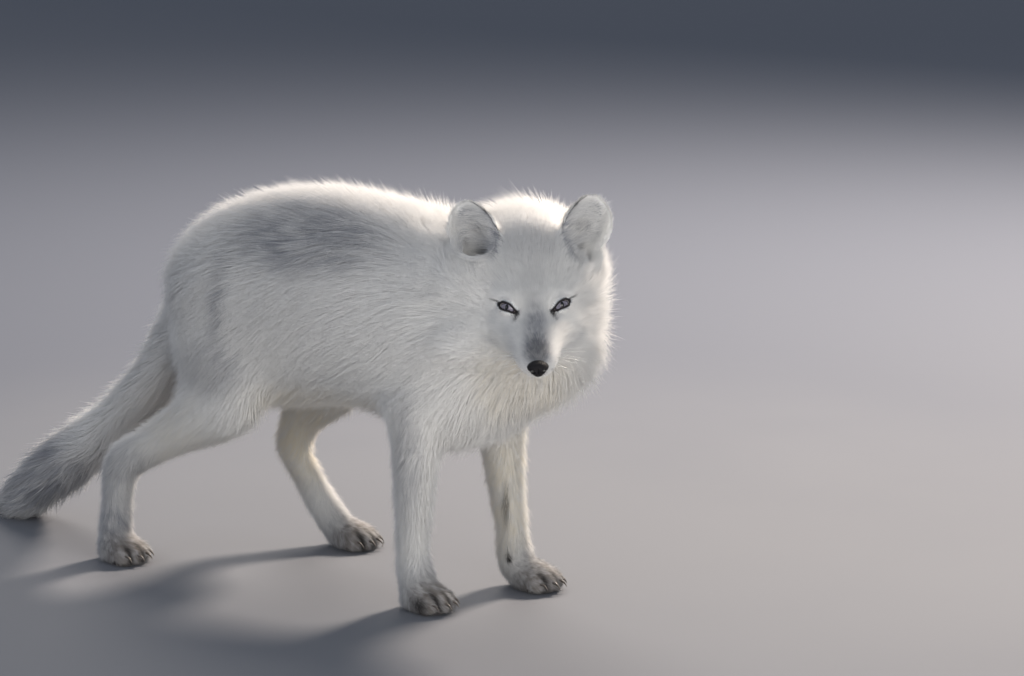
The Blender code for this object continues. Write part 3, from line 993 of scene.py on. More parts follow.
@dataclass
class EyeOpening:
    """The almond between one eye's lids, in a frame with x to the outer corner and z out of the head."""

    side: int  # +1 on the head's right
    centre: Array
    head: Head
    ball: float = 7.8  # the eyeball's radius
    half_width: float = 8.9
    upper: float = 2.2  # from the middle line up to the upper lid
    lower: float = 1.85
    droop: float = 1.5  # of the corner next to the nose
    lid: float = 0.8  # its thickness
    lid_reach: float = 7.5  # from the edge to where the face begins
    near: float = 17.0  # how far round the eye anything is drawn
    axes: Array = field(init=False)

    def __post_init__(self) -> None:
        """Works out the frame."""
        out = self.head.way(self.side * 0.54, 0.55, 0.64)
        across = self.head.way(self.side * 0.775, -0.625, -0.03)
        x = unit(across - out * (across @ out))
        y = np.cross(out, x)
        self.axes = np.stack((x, y if y @ self.head.way(0, 0, 1) > 0 else -y, out), axis=1)

    @property
    def out(self) -> Array:
        """The way out of the head."""
        return self.axes[:, 2]

    def inside(self, points: Array) -> Array:
        """Places in the eye's frame, in millimetres."""
        return (points - self.centre) @ self.axes / MM

    def outside(self, places: Array) -> Array:
        """Places in the fox's frame."""
        return self.centre + places @ self.axes.T * MM

    def edge_distance(self, places: Array) -> Array:
        """How far outside the almond a place is, seen along z; negative inside.

        Args:
            places: Places in the eye's frame.

        Returns:
            Distances in millimetres.
        """
        x, y = places[:, 0], places[:, 1]
        across = np.clip(np.abs(x) / self.half_width, 0, 1)
        bow = (1 - across**2.1) ** 0.9
        droop = -self.droop * rise(x, -0.45 * self.half_width, -1.05 * self.half_width)
        top, bottom = self.upper * bow + droop, -self.lower * bow + droop
        within = np.maximum(y - top, bottom - y)
        beyond = np.hypot(np.maximum(np.abs(x) - self.half_width, 0), np.maximum(within, 0))
        return np.where(np.abs(x) > self.half_width, beyond, within)

    def shape(self, points: Array) -> tuple[Array, Array]:
        """Draws the skin over the ball as two lids with an opening between them.

        Args:
            points: The skin's places.

        Returns:
            The new places, and how far each lies from the lids' edge, in millimetres.
        """
        places = self.inside(points)
        off = self.edge_distance(places)
        near = (np.hypot(places[:, 0], places[:, 1]) < self.near) & (places[:, 2] > -6)
        radius2 = places[:, 0] ** 2 + places[:, 1] ** 2
        over = self.ball + self.lid
        round_to = 0.86 * over  # from there the lid slopes to the face
        slope = 1.7 * np.maximum(np.sqrt(radius2) - round_to, 0)
        lid_height = np.sqrt(over**2 - np.minimum(radius2, round_to**2)) - slope
        under = np.sqrt(np.maximum((self.ball - 1.4) ** 2 - radius2, 4.0))
        drawn = rise(off, self.lid_reach, 0.6)
        closed = places[:, 2] * (1 - drawn) + np.maximum(lid_height, places[:, 2] - 2) * drawn
        moved = places.copy()
        moved[near, 2] = np.where(off < 0, under, closed)[near]
        return self.outside(moved), np.where(near, off, FAR_MM)


@dataclass
class Skin:
    """One skin for the whole fox, made from the solids and drawn in by the coat's depth."""

    head: Head
    nodes: dict[str, bpy.types.Object]
    ears: Sequence[Ear]
    voxel: float = 2.0
    fatten: float = 0.3  # closes the thin cuts between the solids
    sole: float = 3.0  # below this the skin isn't drawn in
    thickest: float = 0.30  # the most of the body's thickness that the coat takes
    back: float = 0.52  # how far each smoothing step moves back again
    smoothings: int = 26
    crisp_smoothings: int = 7  # on ears and paws
    refined: tuple[float, float] = (15.0, 12.5)  # round each eye, one finer step within each
    eye_openings: list[EyeOpening] = field(default_factory=list)
    fields: dict[str, Array] = field(default_factory=dict)
    made: bpy.types.Object = field(init=False)
    shares: Array = field(init=False)
    edges: Array = field(init=False)
    faces: Array = field(init=False)
    points: Array = field(init=False)
    normals: Array = field(init=False)
    way: Array = field(init=False)
    rim: Array = field(init=False)
    unwrap: Array = field(init=False)
    markings: Markings = field(init=False)

    def shell(self) -> bpy.types.Mesh:
        """The solids joined, with the eyes' and the nose's sockets filled.

        Returns:
            One mesh of closed shapes that overlap.
        """
        joined = bmesh.new()
        for node in (*FLESH, *SENSES):
            part = bmesh.new()
            part.from_mesh(self.nodes[node].data)
            bmesh.ops.remove_doubles(part, verts=part.verts, dist=0.02 * MM)
            bmesh.ops.recalc_face_normals(part, faces=part.faces)
            fat = 0.0 if node in SENSES else self.fatten
            moved = [vertex.co + vertex.normal * fat * MM for vertex in part.verts]
            made = [joined.verts.new(place) for place in moved]
            for face in part.faces:
                joined.faces.new([made[vertex.index] for vertex in face.verts])
            part.free()
        mesh = bpy.data.meshes.new("shell")
        joined.to_mesh(mesh)
        joined.free()
        return mesh

    def remeshed(self) -> bpy.types.Object:
        """The shell as one even mesh.

        Returns:
            The skin's object, of faces with four corners.
        """
        source = linked("shell", self.shell())
        fuse = source.modifiers.new("fuse", "REMESH")
        fuse.mode, fuse.voxel_size, fuse.use_smooth_shade = "VOXEL", self.voxel * MM, True
        graph = bpy.context.evaluated_depsgraph_get()
        mesh = bpy.data.meshes.new_from_object(source.evaluated_get(graph))
        bpy.data.objects.remove(source)
        mesh.name = "skin"
        return linked("skin", mesh)

    def find_regions(self, points: Array) -> Array:
        """Which region each point belongs to, from the nearest solid.

        Args:
            points: Places in metres.

        Returns:
            One row for each point, with 1 at its region and 0 elsewhere.
        """
        verts: list[Vector] = []
        faces: list[tuple[int, ...]] = []
        owner: list[int] = []
        for number, region in enumerate(REGIONS):
            for node in region.nodes:
                mesh = self.nodes[node].data
                start = len(verts)
                verts += [vertex.co.copy() for vertex in mesh.vertices]
                faces += [tuple(start + corner for corner in face.vertices) for face in mesh.polygons]
                owner += [number] * len(mesh.polygons)
        tree = BVHTree.FromPolygons(verts, faces)
        nearest = [owner[tree.find_nearest(Vector(point))[2]] for point in points]
        return np.eye(len(REGIONS))[nearest]

    def blurred(self, values: Array, times: int, share: float = 0.5, back: float = 0.0) -> Array:
        """Values evened out between neighbours.

        Args:
            values: One row for each vertex.
            times: How often.
            share: How far each moves to its neighbours' mean.
            back: How far a second step moves away again, which keeps a shape from shrinking.

        Returns:
            The new values.
        """
        a, b = self.edges[:, 0], self.edges[:, 1]
        size = len(values)
        count = np.maximum(np.bincount(self.edges.ravel(), minlength=size), 1)
        flat = values.astype(float).reshape(size, -1)
        for _ in range(times):
            for part in (share, -back) if back else (share,):
                mean = np.empty_like(flat)
                for column, value in enumerate(flat.T):
                    total = np.bincount(a, value[b], size) + np.bincount(b, value[a], size)
                    mean[:, column] = total / count
                flat += part * (mean - flat)
        return flat.reshape(values.shape)

    def read_edges(self, mesh: bpy.types.Mesh) -> None:
        """Keeps the mesh's edges as an array."""
        self.edges = read_rows(mesh.edges, "vertices", 2, np.int32)

    def spread(self, name: str) -> Array:
        """One number of the pelts, blended over the regions."""
        return self.shares @ np.array([getattr(region.pelt, name) for region in REGIONS])

    def share_of(self, *regions: Region) -> Array:
        """How far each vertex belongs to any of the regions."""
        return self.shares[:, [REGIONS.index(region) for region in regions]].sum(axis=1)

    def head_fields(self, points: Array) -> dict[str, Array]:
        """The coat on the head and where it meets the neck.

        Args:
            points: Places in metres.

        Returns:
            The numbers of HEAD_COAT at each point, blended between the parts of the head.
        """
        place = self.head.inside(points)
        across, ahead, up = np.abs(place[:, 0]), place[:, 1], place[:, 2]
        muzzle = rise(ahead, -4, 24) * rise(up, -50, -38)
        nape = rise(ahead, -45, -112)
        cheek = rise(across, 24, 68) * rise(up, 24, -12)
        under = rise(up, -20, -58)
        grown = (1 - (1 - nape) * (1 - cheek) * (1 - under)) * (1 - muzzle)
        mirrored = np.stack((across, ahead, up), axis=1)
        eye = rise(np.linalg.norm(mirrored - np.array((21, 3, 3)), axis=1), 24, 11)
        ear = sum(ear.around_foot(points) for ear in self.ears)
        jaw = rise(across, 11, 20) * rise(ahead, -8, 4) * rise(ahead, 44, 26)
        jaw = jaw * rise(up, -2, -12) * rise(up, -46, -34)
        found = {}
        for name, coat in HEAD_COAT.items():
            value = coat.plain + (coat.muzzle - coat.plain) * muzzle
            value = value + (getattr(Region.NECK.pelt, name) - value) * grown
            value = value + (coat.jaw - value) * jaw
            value = value + (coat.by_eye - value) * eye
            found[name] = value + (coat.by_ear - value) * ear
        return found

    def find_fields(self, points: Array, normals: Array) -> None:
        """Keeps every number of the pelts at each vertex, with what the head, ears and feet change.

        Args:
            points: The vertices' places in metres.
            normals: The ways that they face.
        """
        found = {name: self.spread(name) for name in PELT_NUMBERS}
        on_head = self.share_of(Region.HEAD, Region.NECK)
        for name, own in self.head_fields(points).items():
            found[name] = found[name] * (1 - on_head) + on_head * own
        inner = sum(ear.within(points) for ear in self.ears)
        for name, own in IN_EARS.items():
            found[name] = found[name] + inner * (own - found[name])
        found["inner"] = inner
        tips = sum(ear.near_tip(points) for ear in self.ears)
        on_ears = self.share_of(Region.EAR_LEFT, Region.EAR_RIGHT)
        found["length"] = found["length"] * (1 - 0.5 * np.clip(tips, 0, 1) * on_ears)
        front = sum(ear.front(points) for ear in self.ears)
        found["soft"] = found["soft"] + front * (0.85 - found["soft"])
        upright = self.share_of(Region.HINDPAW) * rise(points[:, 2] / MM, 26, 50)  # as on the shank
        for name in ("depth", "length", "width", "density"):
            more = 0.8 * getattr(Region.SHANK.pelt, name) - 0.8 * getattr(Region.HINDPAW.pelt, name)
            found[name] = found[name] + upright * more
        sole = rise(points[:, 2] / MM, self.sole + 6, 0.5) * rise(-normals[:, 2], 0.2, 0.7)
        found["depth"] = found["depth"] * (1 - sole) + 0.3 * sole
        found["density"] = found["density"] * (1 - 0.9 * sole)
        for name, values in found.items():
            self.fields[name] = self.blurred(values, 14 if name == "depth" else 4)

    def lie(self, points: Array, normals: Array) -> Array:
        """The way the coat lies, along the skin.

        Args:
            points: The vertices' places in metres.
            normals: The ways that they face.

        Returns:
            One way for each vertex.
        """
        from_nose = unit(points - self.head.nose)
        face = self.head.outside((0, -45, -18))
        flank = np.abs(normals[:, 0])
        count = len(points)
        none = np.zeros(count)
        ways = {
            Region.TRUNK: np.stack((none, none + 1, -0.20 - 0.45 * flank), axis=1),
            Region.NECK: 0.8 * unit(points - face) + 0.35 * from_nose + np.array((0, 0.45, -0.55)),
            Region.TAIL: np.tile((0, 0.80, -0.60), (count, 1)),
            Region.THIGH: np.tile((0, 0.62, -0.80), (count, 1)),
            Region.SHANK: np.tile((0, 0.50, -0.85), (count, 1)),
            Region.FORELEG: np.tile((0, 0.20, -1.0), (count, 1)),
            Region.PAW: np.tile((0, -1.0, -0.60), (count, 1)),
            Region.HINDPAW: np.stack((none, -rise(points[:, 2] / MM, 42, 20), none - 1), axis=1),
            Region.HEAD: from_nose + np.array((0, 0, -0.12)),
            Region.EAR_LEFT: np.tile(self.head.way(0.12, -0.10, 0.98), (count, 1)),
            Region.EAR_RIGHT: np.tile(self.head.way(-0.12, -0.10, 0.98), (count, 1)),
        }
        total = sum(self.shares[:, [number]] * ways[region] for number, region in enumerate(REGIONS))
        for ear in self.ears:
            place = ear.inside(points)
            foot = ear.around_foot(points)[:, None]
            total = total + (ear.way(0.15, 0.10, 0.97) - total) * foot
            across = rise(ear.across(place), 0.35, 0.70)[:, None]
            low = rise(place[:, 2], 24, 6)[:, None]
            edge = ear.way(-0.1, 0.1, 1.0) * (1 - low) + ear.way(-0.55, 0.5, 0.7) * low
            sweep = ear.way(1.0, 0.35, 0.16) * (1 - across) + edge * across
            total = total + (sweep - total) * ear.front(points)[:, None]
        for opening in self.eye_openings:
            place = opening.inside(points)
            away = place.copy()
            away[:, 2] = 0
            near = np.exp(-(np.maximum(opening.edge_distance(place), 0) / 5.0) ** 2)
            near = near * (np.abs(place[:, 2]) < 14)
            total = total + (unit(away) @ opening.axes.T) * (1.3 * near)[:, None]
        way = flat_to(total, normals)
        for _ in range(3):
            way = flat_to(self.blurred(way, 4), normals)
        wave = self.fields["wave"][:, None]
        way = way + wave * wobble(points, 45, SEED + 1) + 0.6 * wave * wobble(points, 14, SEED + 2)
        return flat_to(way, normals)

    def refine(self, mesh: bpy.types.Mesh) -> None:
        """Makes the mesh finer round the eyes.

        Args:
            mesh: The skin, which has only triangles after it.
        """
        work = bmesh.new()
        work.from_mesh(mesh)
        centres = [Vector(opening.centre) for opening in self.eye_openings]
        for reach in self.refined:
            edges = []
            for edge in work.edges:
                middle = (edge.verts[0].co + edge.verts[1].co) / 2
                if min((middle - centre).length for centre in centres) < reach * MM:
                    edges.append(edge)
            bmesh.ops.subdivide_edges(work, edges=edges, cuts=1, use_grid_fill=True)
        bmesh.ops.triangulate(work, faces=work.faces)
        work.to_mesh(mesh)
        work.free()

    def build(self) -> None:
        """Makes the skin with its fields and lids."""
        self.made = self.remeshed()
        mesh = self.made.data
        self.read_edges(mesh)
        points = points_of(mesh)
        self.shares = self.find_regions(points)
        crisp = self.share_of(Region.EAR_LEFT, Region.EAR_RIGHT, Region.PAW, Region.HINDPAW)
        crisp = self.blurred(crisp, 4)[:, None]
        smooth = self.blurred(points, self.smoothings, back=self.back)
        light = self.blurred(points, self.crisp_smoothings, back=self.back)
        points = smooth * (1 - crisp) + light * crisp
        points[:, 2] = np.maximum(points[:, 2], 0.0)
        self.shares = self.blurred(self.shares, 14)
        self.shares /= self.shares.sum(axis=1, keepdims=True)
        write_points(mesh, points)
        normals = unit(self.blurred(normals_of(mesh), 3))
        self.find_fields(points, normals)
        self.hold_depth(mesh, points, normals)
        points = points - normals * (self.fields["depth"] * MM)[:, None]
        points = self.blurred(points, 5, back=0.3)
        write_points(mesh, points)
        self.eye_openings = [EyeOpening(side, self.head.eyes[name], self.head)
                             for name, side in (("right", 1), ("left", -1))]
        self.refine(mesh)
        self.carry_over(points, points_of(mesh))
        self.read_edges(mesh)
        self.shape_lids(mesh)
        self.points = points_of(mesh)
        self.normals = unit(self.blurred(normals_of(mesh), 4))
        self.way = self.lie(self.points, self.normals)

    def hold_depth(self, mesh: bpy.types.Mesh, points: Array, normals: Array) -> None:
        """Keeps the coat's depth under a share of the body's thickness, as at the ears.

        Args:
            mesh: The skin, whose faces all have four corners here.
            points: Its vertices' places.
            normals: The ways that they face.
        """
        tree = surface_of(points, read_rows(mesh.polygons, "vertices", 4, np.int32))
        most = np.full(len(points), FAR_MM)
        start, farthest = 0.4, 60.0
        for number, (point, normal) in enumerate(zip(points, normals)):
            inward = Vector(-normal)
            _, _, _, distance = tree.ray_cast(Vector(point) + inward * start * MM, inward, farthest * MM)
            if distance is not None:
                most[number] = self.thickest * distance / MM
        most = np.minimum(most, self.blurred(most, 3))
        self.fields["depth"] = self.blurred(np.minimum(self.fields["depth"], most), 2)

    def carry_over(self, coarse: Array, fine: Array) -> None:
        """Reads the fields of the even mesh at the finer mesh's places.

        Args:
            coarse: The even mesh's places.
            fine: The finer mesh's.
        """
        nearest = nearest_in(tree_of(coarse), fine)
        self.shares = self.shares[nearest]
        self.fields = {name: values[nearest] for name, values in self.fields.items()}

    def shape_lids(self, mesh: bpy.types.Mesh) -> None:
        """Draws the lids, and keeps how far each vertex lies from their edge.

        Args:
            mesh: The skin.
        """
        points = points_of(mesh)
        self.rim = np.full(len(points), FAR_MM)
        for opening in self.eye_openings:
            points, off = opening.shape(points)
            self.rim = np.where(np.abs(off) < np.abs(self.rim), off, self.rim)
        write_points(mesh, points)

    def finish(self, material: bpy.types.Material, markings: Markings) -> None:
        """Unwraps the skin and dresses it.

        Args:
            material: Its finish.
            markings: What colours it.
        """
        mesh = self.made.data
        self.faces = read_rows(mesh.polygons, "vertices", 3, np.int32)
        self.unwrap = self.unwrapped(mesh)
        self.markings = markings
        tones = markings.weights(self.points)
        lids = rise(np.abs(self.rim), 2.3, 1.4) + (self.rim < 0)
        tones[Tone.DARK] = np.clip(np.maximum(tones[Tone.DARK], lids), 0, 1)
        tones[Tone.GREY] = np.maximum(tones[Tone.GREY], 0.7 * rise(np.abs(self.rim), 6.0, 2.0))
        for tone, values in tones.items():
            write_values(mesh, tone.name.lower(), values)
        write_values(mesh, "tip", np.full(len(self.points), 0.5))
        write_values(mesh, "shade", np.full(len(self.points), 0.8))
        mesh.materials.clear()
        mesh.materials.append(material)
        mesh.shade_smooth()

    def unwrapped(self, mesh: bpy.types.Mesh) -> Array:
        """Unwraps the skin's own shape, and gives the place on it of each face's corners.

        Args:
            mesh: The skin.

        Returns:
            For each triangle, the places of its three corners.
        """
        mesh.uv_layers.new(name="OFBake")
        bpy.context.view_layer.objects.active = self.made
        self.made.select_set(True)
        bpy.ops.object.mode_set(mode="EDIT")
        bpy.ops.mesh.select_all(action="SELECT")
        bpy.ops.uv.smart_project(angle_limit=math.radians(70), island_margin=0.002)
        bpy.ops.object.mode_set(mode="OBJECT")
        self.made.select_set(False)
        return read_rows(mesh.uv_layers["OFBake"].data, "uv", 2).reshape(-1, 3, 2).astype(float)


# ------------------------------------------------------------------ the coat


@dataclass
class Locks:
    """Many small closed tufts as arrays: each has a centre line of two or three points."""

    lines: Array  # tufts, points, 3
    widths: Array
    normals: Array
    soft: Array  # how far each is shaded as one surface with its neighbours
    uv: Array
    values: dict[str, Array]

    def part(self, chosen: Array) -> Locks:
        """The chosen tufts alone.

        Args:
            chosen: Their numbers, or a mask.

        Returns:
            Those tufts.
        """
        values = {name: kept[chosen] for name, kept in self.values.items()}
        return Locks(self.lines[chosen], self.widths[chosen], self.normals[chosen], self.soft[chosen],
                     self.uv[chosen], values)

    @property
    def triangles(self) -> int:
        """How many triangles the tufts make."""
        return len(self.lines) * (6 * (self.lines.shape[1] - 2) + 4)


@dataclass
class TuftMaker:
    """Turns locks into mesh: each tuft is a closed three-sided spike."""

    patch: float = 0.003  # a tuft's size on the unwrap
    taper: float = 0.78  # a bent tuft's width at its middle, as a share of its width at the root
    lowest: float = 0.25  # the least height above the ground
    corners: Array = field(default_factory=lambda: np.array(((0.5, -0.22), (0.0, 0.44), (-0.5, -0.22))))

    def arrays(self, locks: Locks) -> dict[str, Any]:
        """Makes one set of tufts.

        Args:
            locks: The tufts.

        Returns:
            Their points, faces, shading normals, unwrap and values.
        """
        count, rings = len(locks.lines), locks.lines.shape[1] - 1
        soft = locks.soft[:, None]
        ahead = unit(locks.lines[:, -1] - locks.lines[:, 0])
        side = unit(np.cross(ahead, locks.normals))
        over = np.cross(side, ahead)
        points, shading, across, along = [], [], [], []
        for ring in range(rings):
            width = locks.widths * (1.0, self.taper)[ring]
            for x, y in self.corners:
                away = side * x + over * y
                points.append(locks.lines[:, ring] + away * width[:, None])
                shading.append(unit(locks.normals * soft + unit(away) * (1 - soft)))
                across.append(np.full(count, x + 0.5))
                along.append(np.full(count, ring / rings))
        points.append(locks.lines[:, -1])
        shading.append(unit(locks.normals * soft + ahead * 0.3 * (1 - soft)))
        across.append(np.full(count, 0.5))
        along.append(np.ones(count))
        each = len(points)
        stacked = np.stack(points, axis=1).reshape(-1, 3)
        faces = [(2, 1, 0)]
        for ring in range(rings - 1):
            for k in range(3):
                a, b = 3 * ring + k, 3 * ring + (k + 1) % 3
                faces += [(a, b, b + 3), (a, b + 3, a + 3)]
        last, tip = 3 * (rings - 1), each - 1
        faces += [(last + k, last + (k + 1) % 3, tip) for k in range(3)]
        pattern = np.array(faces)[:, ::-1]  # turned to face out
        every = (pattern[None] + (np.arange(count) * each)[:, None, None]).reshape(-1, 3)
        local = np.stack((np.stack(across, axis=1), np.stack(along, axis=1)), axis=-1) - 0.5
        unwrap = np.clip(locks.uv[:, None] + local * self.patch, 0.0, 1.0).reshape(-1, 2)
        values = {name: np.repeat(kept, each) for name, kept in locks.values.items()}
        values["tip"] = np.stack(along, axis=1).ravel()
        return {"points": stacked, "faces": every, "shading": np.stack(shading, axis=1).reshape(-1, 3),
                "unwrap": unwrap, "values": values}

    def piece(self, name: str, sets: Sequence[Locks], material: bpy.types.Material) -> bpy.types.Object:
        """One mesh from several sets of tufts.

        Args:
            name: The piece's name.
            sets: The tufts, straight and bent.
            material: Their finish.

        Returns:
            The piece, with its unwrap, its values and its shading normals.
        """
        parts = [self.arrays(locks) for locks in sets if len(locks.lines)]
        starts = np.cumsum([0] + [len(part["points"]) for part in parts[:-1]])
        points = np.concatenate([part["points"] for part in parts])
        points[:, 2] = np.maximum(points[:, 2], self.lowest * MM)
        faces = np.concatenate([part["faces"] + start for part, start in zip(parts, starts)])
        made = new_object(name, points, faces, material)
        mesh = made.data
        for key in parts[0]["values"]:
            write_values(mesh, key, np.concatenate([part["values"][key] for part in parts]))
        unwrap = np.concatenate([part["unwrap"] for part in parts])[faces.ravel()]
        mesh.uv_layers.new(name="OFBake").data.foreach_set("uv", unwrap.astype(np.float32).ravel())
        kept = mesh.attributes.new("custom_normal", "FLOAT_VECTOR", "POINT")
        shading = np.concatenate([part["shading"] for part in parts])
        kept.data.foreach_set("vector", shading.astype(np.float32).ravel())
        mesh.update()
        return made


@dataclass
class Coat:
    """The tufts, grown from the skin along the lie of the coat."""

    skin: Skin
    triangles: int = 1_400_000
    most: int = 190_000  # triangles in one piece
    long_from: float = 29.5  # millimetres, from which a tuft bends
    bare_rim: float = 1.9  # how far from a lid's edge the tufts begin
    lock: int = 15  # tufts that are drawn together
    stray: float = 0.05  # the share of tufts that stand out of the coat
    lengths: tuple[float, float] = (0.72, 1.12)  # shortest and longest, as shares of the field's
    widths: tuple[float, float] = (0.75, 1.25)
    spray: float = 0.10  # how far tips scatter, as a share of their length
    lifts: tuple[float, float] = (-0.30, 0.14)  # lowest and highest, as shares of the depth
    stray_lift: float = 0.30
    gathers: tuple[float, float] = (0.5, 1.15)  # least and most of the field's clump
    gather_middle: float = 0.42  # how far a tuft's middle follows its lock, as a share of its tip
    keep_apart: float = 0.35  # of the distance between roots that stays between tips
    maker: TuftMaker = field(default_factory=TuftMaker)

    def guides(self) -> tuple[Array, Array]:
        """Where a tuft from each vertex of the skin runs.

        Returns:
            Its root, its middle and its tip, and the way that it faces.
        """
        skin = self.skin
        points, normals, way = skin.points, skin.normals, skin.way
        tree = tree_of(points)
        length, depth, loft = (skin.fields[name][:, None] * MM for name in ("length", "depth", "loft"))
        stretch = np.sqrt(np.maximum(length**2 - (0.9 * depth) ** 2, (0.35 * length) ** 2))
        line = [points - normals * 0.6 * MM]
        at, heading = points, way
        for height in (0.62, 1.0):
            ahead = at + heading * stretch / 2
            nearest = nearest_in(tree, ahead)
            up = normals[nearest]
            at = ahead - up * dot(ahead - points[nearest], up)[:, None]
            heading = flat_to(way[nearest] + heading, up)
            line.append(at + up * (depth * height + loft * height**2 + 0.3 * MM))
        facing = unit(normals * 0.35 + up * 0.65)
        for ear in skin.ears:
            flat = 0.8 * ear.front(points)[:, None]
            facing = unit(facing * (1 - flat) + ear.way(0.1, 0.93, 0.35) * flat)
        return np.stack(line, axis=1), facing

    def roots(self, count: int, weight: Array) -> tuple[Array, Array]:
        """Scatters roots evenly.

        Args:
            count: How many.
            weight: How many of them each face takes, as a share.

        Returns:
            The face of each root, and its shares of that face's corners.
        """
        rng = np.random.default_rng(SEED + 3)
        total = np.cumsum(weight)
        picks = (np.arange(count) + rng.uniform(0, 1, count)) / count * total[-1]
        faces = np.minimum(np.searchsorted(total, picks), len(weight) - 1)
        a, b = rng.uniform(0, 1, (2, count))
        fold = a + b > 1
        a, b = np.where(fold, 1 - a, a), np.where(fold, 1 - b, b)
        return faces, np.stack((1 - a - b, a, b), axis=1)

    def grow(self) -> list[Locks]:
        """All tufts, the short straight ones and the long bent ones.

        Returns:
            The two sets.
        """
        skin = self.skin
        faces, corners = skin.faces, skin.points[skin.faces]
        sides = corners[:, 1:] - corners[:, :1]
        area = np.linalg.norm(np.cross(sides[:, 0], sides[:, 1]), axis=1) / 2
        density = np.where(skin.rim > self.bare_rim, skin.fields["density"], 0.0)
        weight = area * density[faces].mean(axis=1)
        bent = skin.fields["length"][faces].mean(axis=1) > self.long_from
        per_tuft = np.where(bent, 10, 4)
        count = int(self.triangles / ((weight * per_tuft).sum() / weight.sum()))
        picked, share = self.roots(count, weight)
        LOG.info("%d tufts, %.2f on a square millimetre", count, count / (area.sum() / MM**2))
        corners_of = faces[picked]

        def read(values: Array) -> Array:
            """Values of the vertices, at the roots.

            Args:
                values: One row for each vertex.

            Returns:
                One row for each root.
            """
            if values.ndim == 1:
                return (values[corners_of] * share).sum(axis=1)
            return np.einsum("ij,ij...->i...", share, values[corners_of])

        lines, facing = (read(values) for values in self.guides())
        kept = {name: read(values) for name, values in skin.fields.items()}
        seen = skin.markings.weights(lines[:, 0] * 0.4 + lines[:, 2] * 0.6)
        values = {tone.name.lower(): seen[tone] for tone in Tone}
        values["region"] = skin.shares[corners_of[:, 0]].argmax(axis=1)
        uv = np.einsum("ij,ijk->ik", share, skin.unwrap[picked])
        return self.ruffle(lines, unit(facing), kept, values, uv)

    def ruffle(self, lines: Array, normals: Array, kept: dict[str, Array], values: dict[str, Array],
               uv: Array) -> list[Locks]:
        """Makes the tufts differ, and draws them together in locks.

        Args:
            lines: Each tuft's root, middle and tip.
            normals: The way that each faces.
            kept: The skin's fields at the roots.
            values: What each tuft carries, its tones and its region.
            uv: The root's place on the unwrap.

        Returns:
            The straight tufts and the bent ones.
        """
        rng = np.random.default_rng(SEED + 4)
        count = len(lines)
        root = lines[:, :1]
        size = rng.uniform(*self.lengths, count)[:, None, None]
        lines = root + (lines - root) * size
        reach = np.linalg.norm(lines[:, 2] - lines[:, 0], axis=1)
        spray = rng.normal(size=(count, 3)) * (self.spray * reach)[:, None]
        lift = normals * (rng.uniform(*self.lifts, count) * kept["depth"] * MM)[:, None]
        strays = (rng.uniform(0, 1, count) < self.stray)[:, None]
        lift = lift + strays * normals * (self.stray_lift * kept["depth"] * MM)[:, None]
        lines[:, 2] += spray + lift
        lines[:, 1] += spray * 0.35 + lift * 0.4
        leaders = rng.permutation(count)[: count // self.lock]
        nearest = leaders[nearest_in(tree_of(lines[leaders, 0]), lines[:, 0])]
        drift = (lines[:, 0] - lines[nearest, 0])[:, None]
        gather = (kept["clump"] * rng.uniform(*self.gathers, count))[:, None, None]
        pull = gather * np.array((0, self.gather_middle, 1.0))[:, None]
        lines = lines * (1 - pull) + (lines[nearest] + drift * self.keep_apart) * pull
        tint = rng.uniform(0, 1, count)
        shared = np.clip(0.6 * tint[nearest] + 0.4 * rng.uniform(0, 1, count), 0, 1)
        values["shade"] = 1 - kept["streak"] * (1 - shared)
        broken = rise(kept["length"], 7, 18)
        for tone in (Tone.GREY, Tone.CREAM, Tone.BROWN):
            kind = tone.name.lower()
            varied = 0.4 + 0.8 * tint[nearest] + 0.4 * rng.uniform(0, 1, count)
            values[kind] = values[kind] * (1 + (varied - 1) * (1.0 + 0.35 * broken))
        values["grey"] *= 1 - (0.20 + 0.75 * shared) * kept["inner"]
        widths = kept["width"] * MM * rng.uniform(*self.widths, count)
        bent = kept["length"] > self.long_from
        every = Locks(lines, widths, normals, kept["soft"], uv, values)
        straight = every.part(~bent)
        straight.lines = straight.lines[:, (0, 2)]
        return [straight, every.part(bent)]

    def build(self, fur: bpy.types.Material) -> None:
        """Makes the coat's pieces, region by region, each within the most triangles.

        Args:
            fur: Their finish.
        """
        grown = self.grow()
        groups = {
            "trunk": (Region.TRUNK,),
            "neck": (Region.NECK,),
            "tail": (Region.TAIL,),
            "thighs": (Region.THIGH, Region.SHANK),
            "forelegs": (Region.FORELEG,),
            "paws": (Region.PAW, Region.HINDPAW),
            "head": (Region.HEAD,),
            "ears": (Region.EAR_LEFT, Region.EAR_RIGHT),
        }
        for name, regions in groups.items():
            numbers = [REGIONS.index(region) for region in regions]
            sets = [locks.part(np.isin(locks.values["region"], numbers)) for locks in grown]
            total = sum(locks.triangles for locks in sets)
            pieces = max(1, math.ceil(total / self.most))
            slices = [np.array_split(np.argsort(locks.lines[:, 0, 1]), pieces) for locks in sets]
            for number in range(pieces):
                chosen = [locks.part(split[number]) for locks, split in zip(sets, slices)]
                for locks in chosen:
                    locks.values.pop("region", None)
                label = f"coat_{name}" if pieces == 1 else f"coat_{name}_{number + 1}"
                slot = "fur_paw" if name == "paws" else "fur_white"
                carried(self.maker.piece(label, chosen, fur), slot)


# ------------------------------------------------------------------ eyes, nose, mouth, whiskers, claws


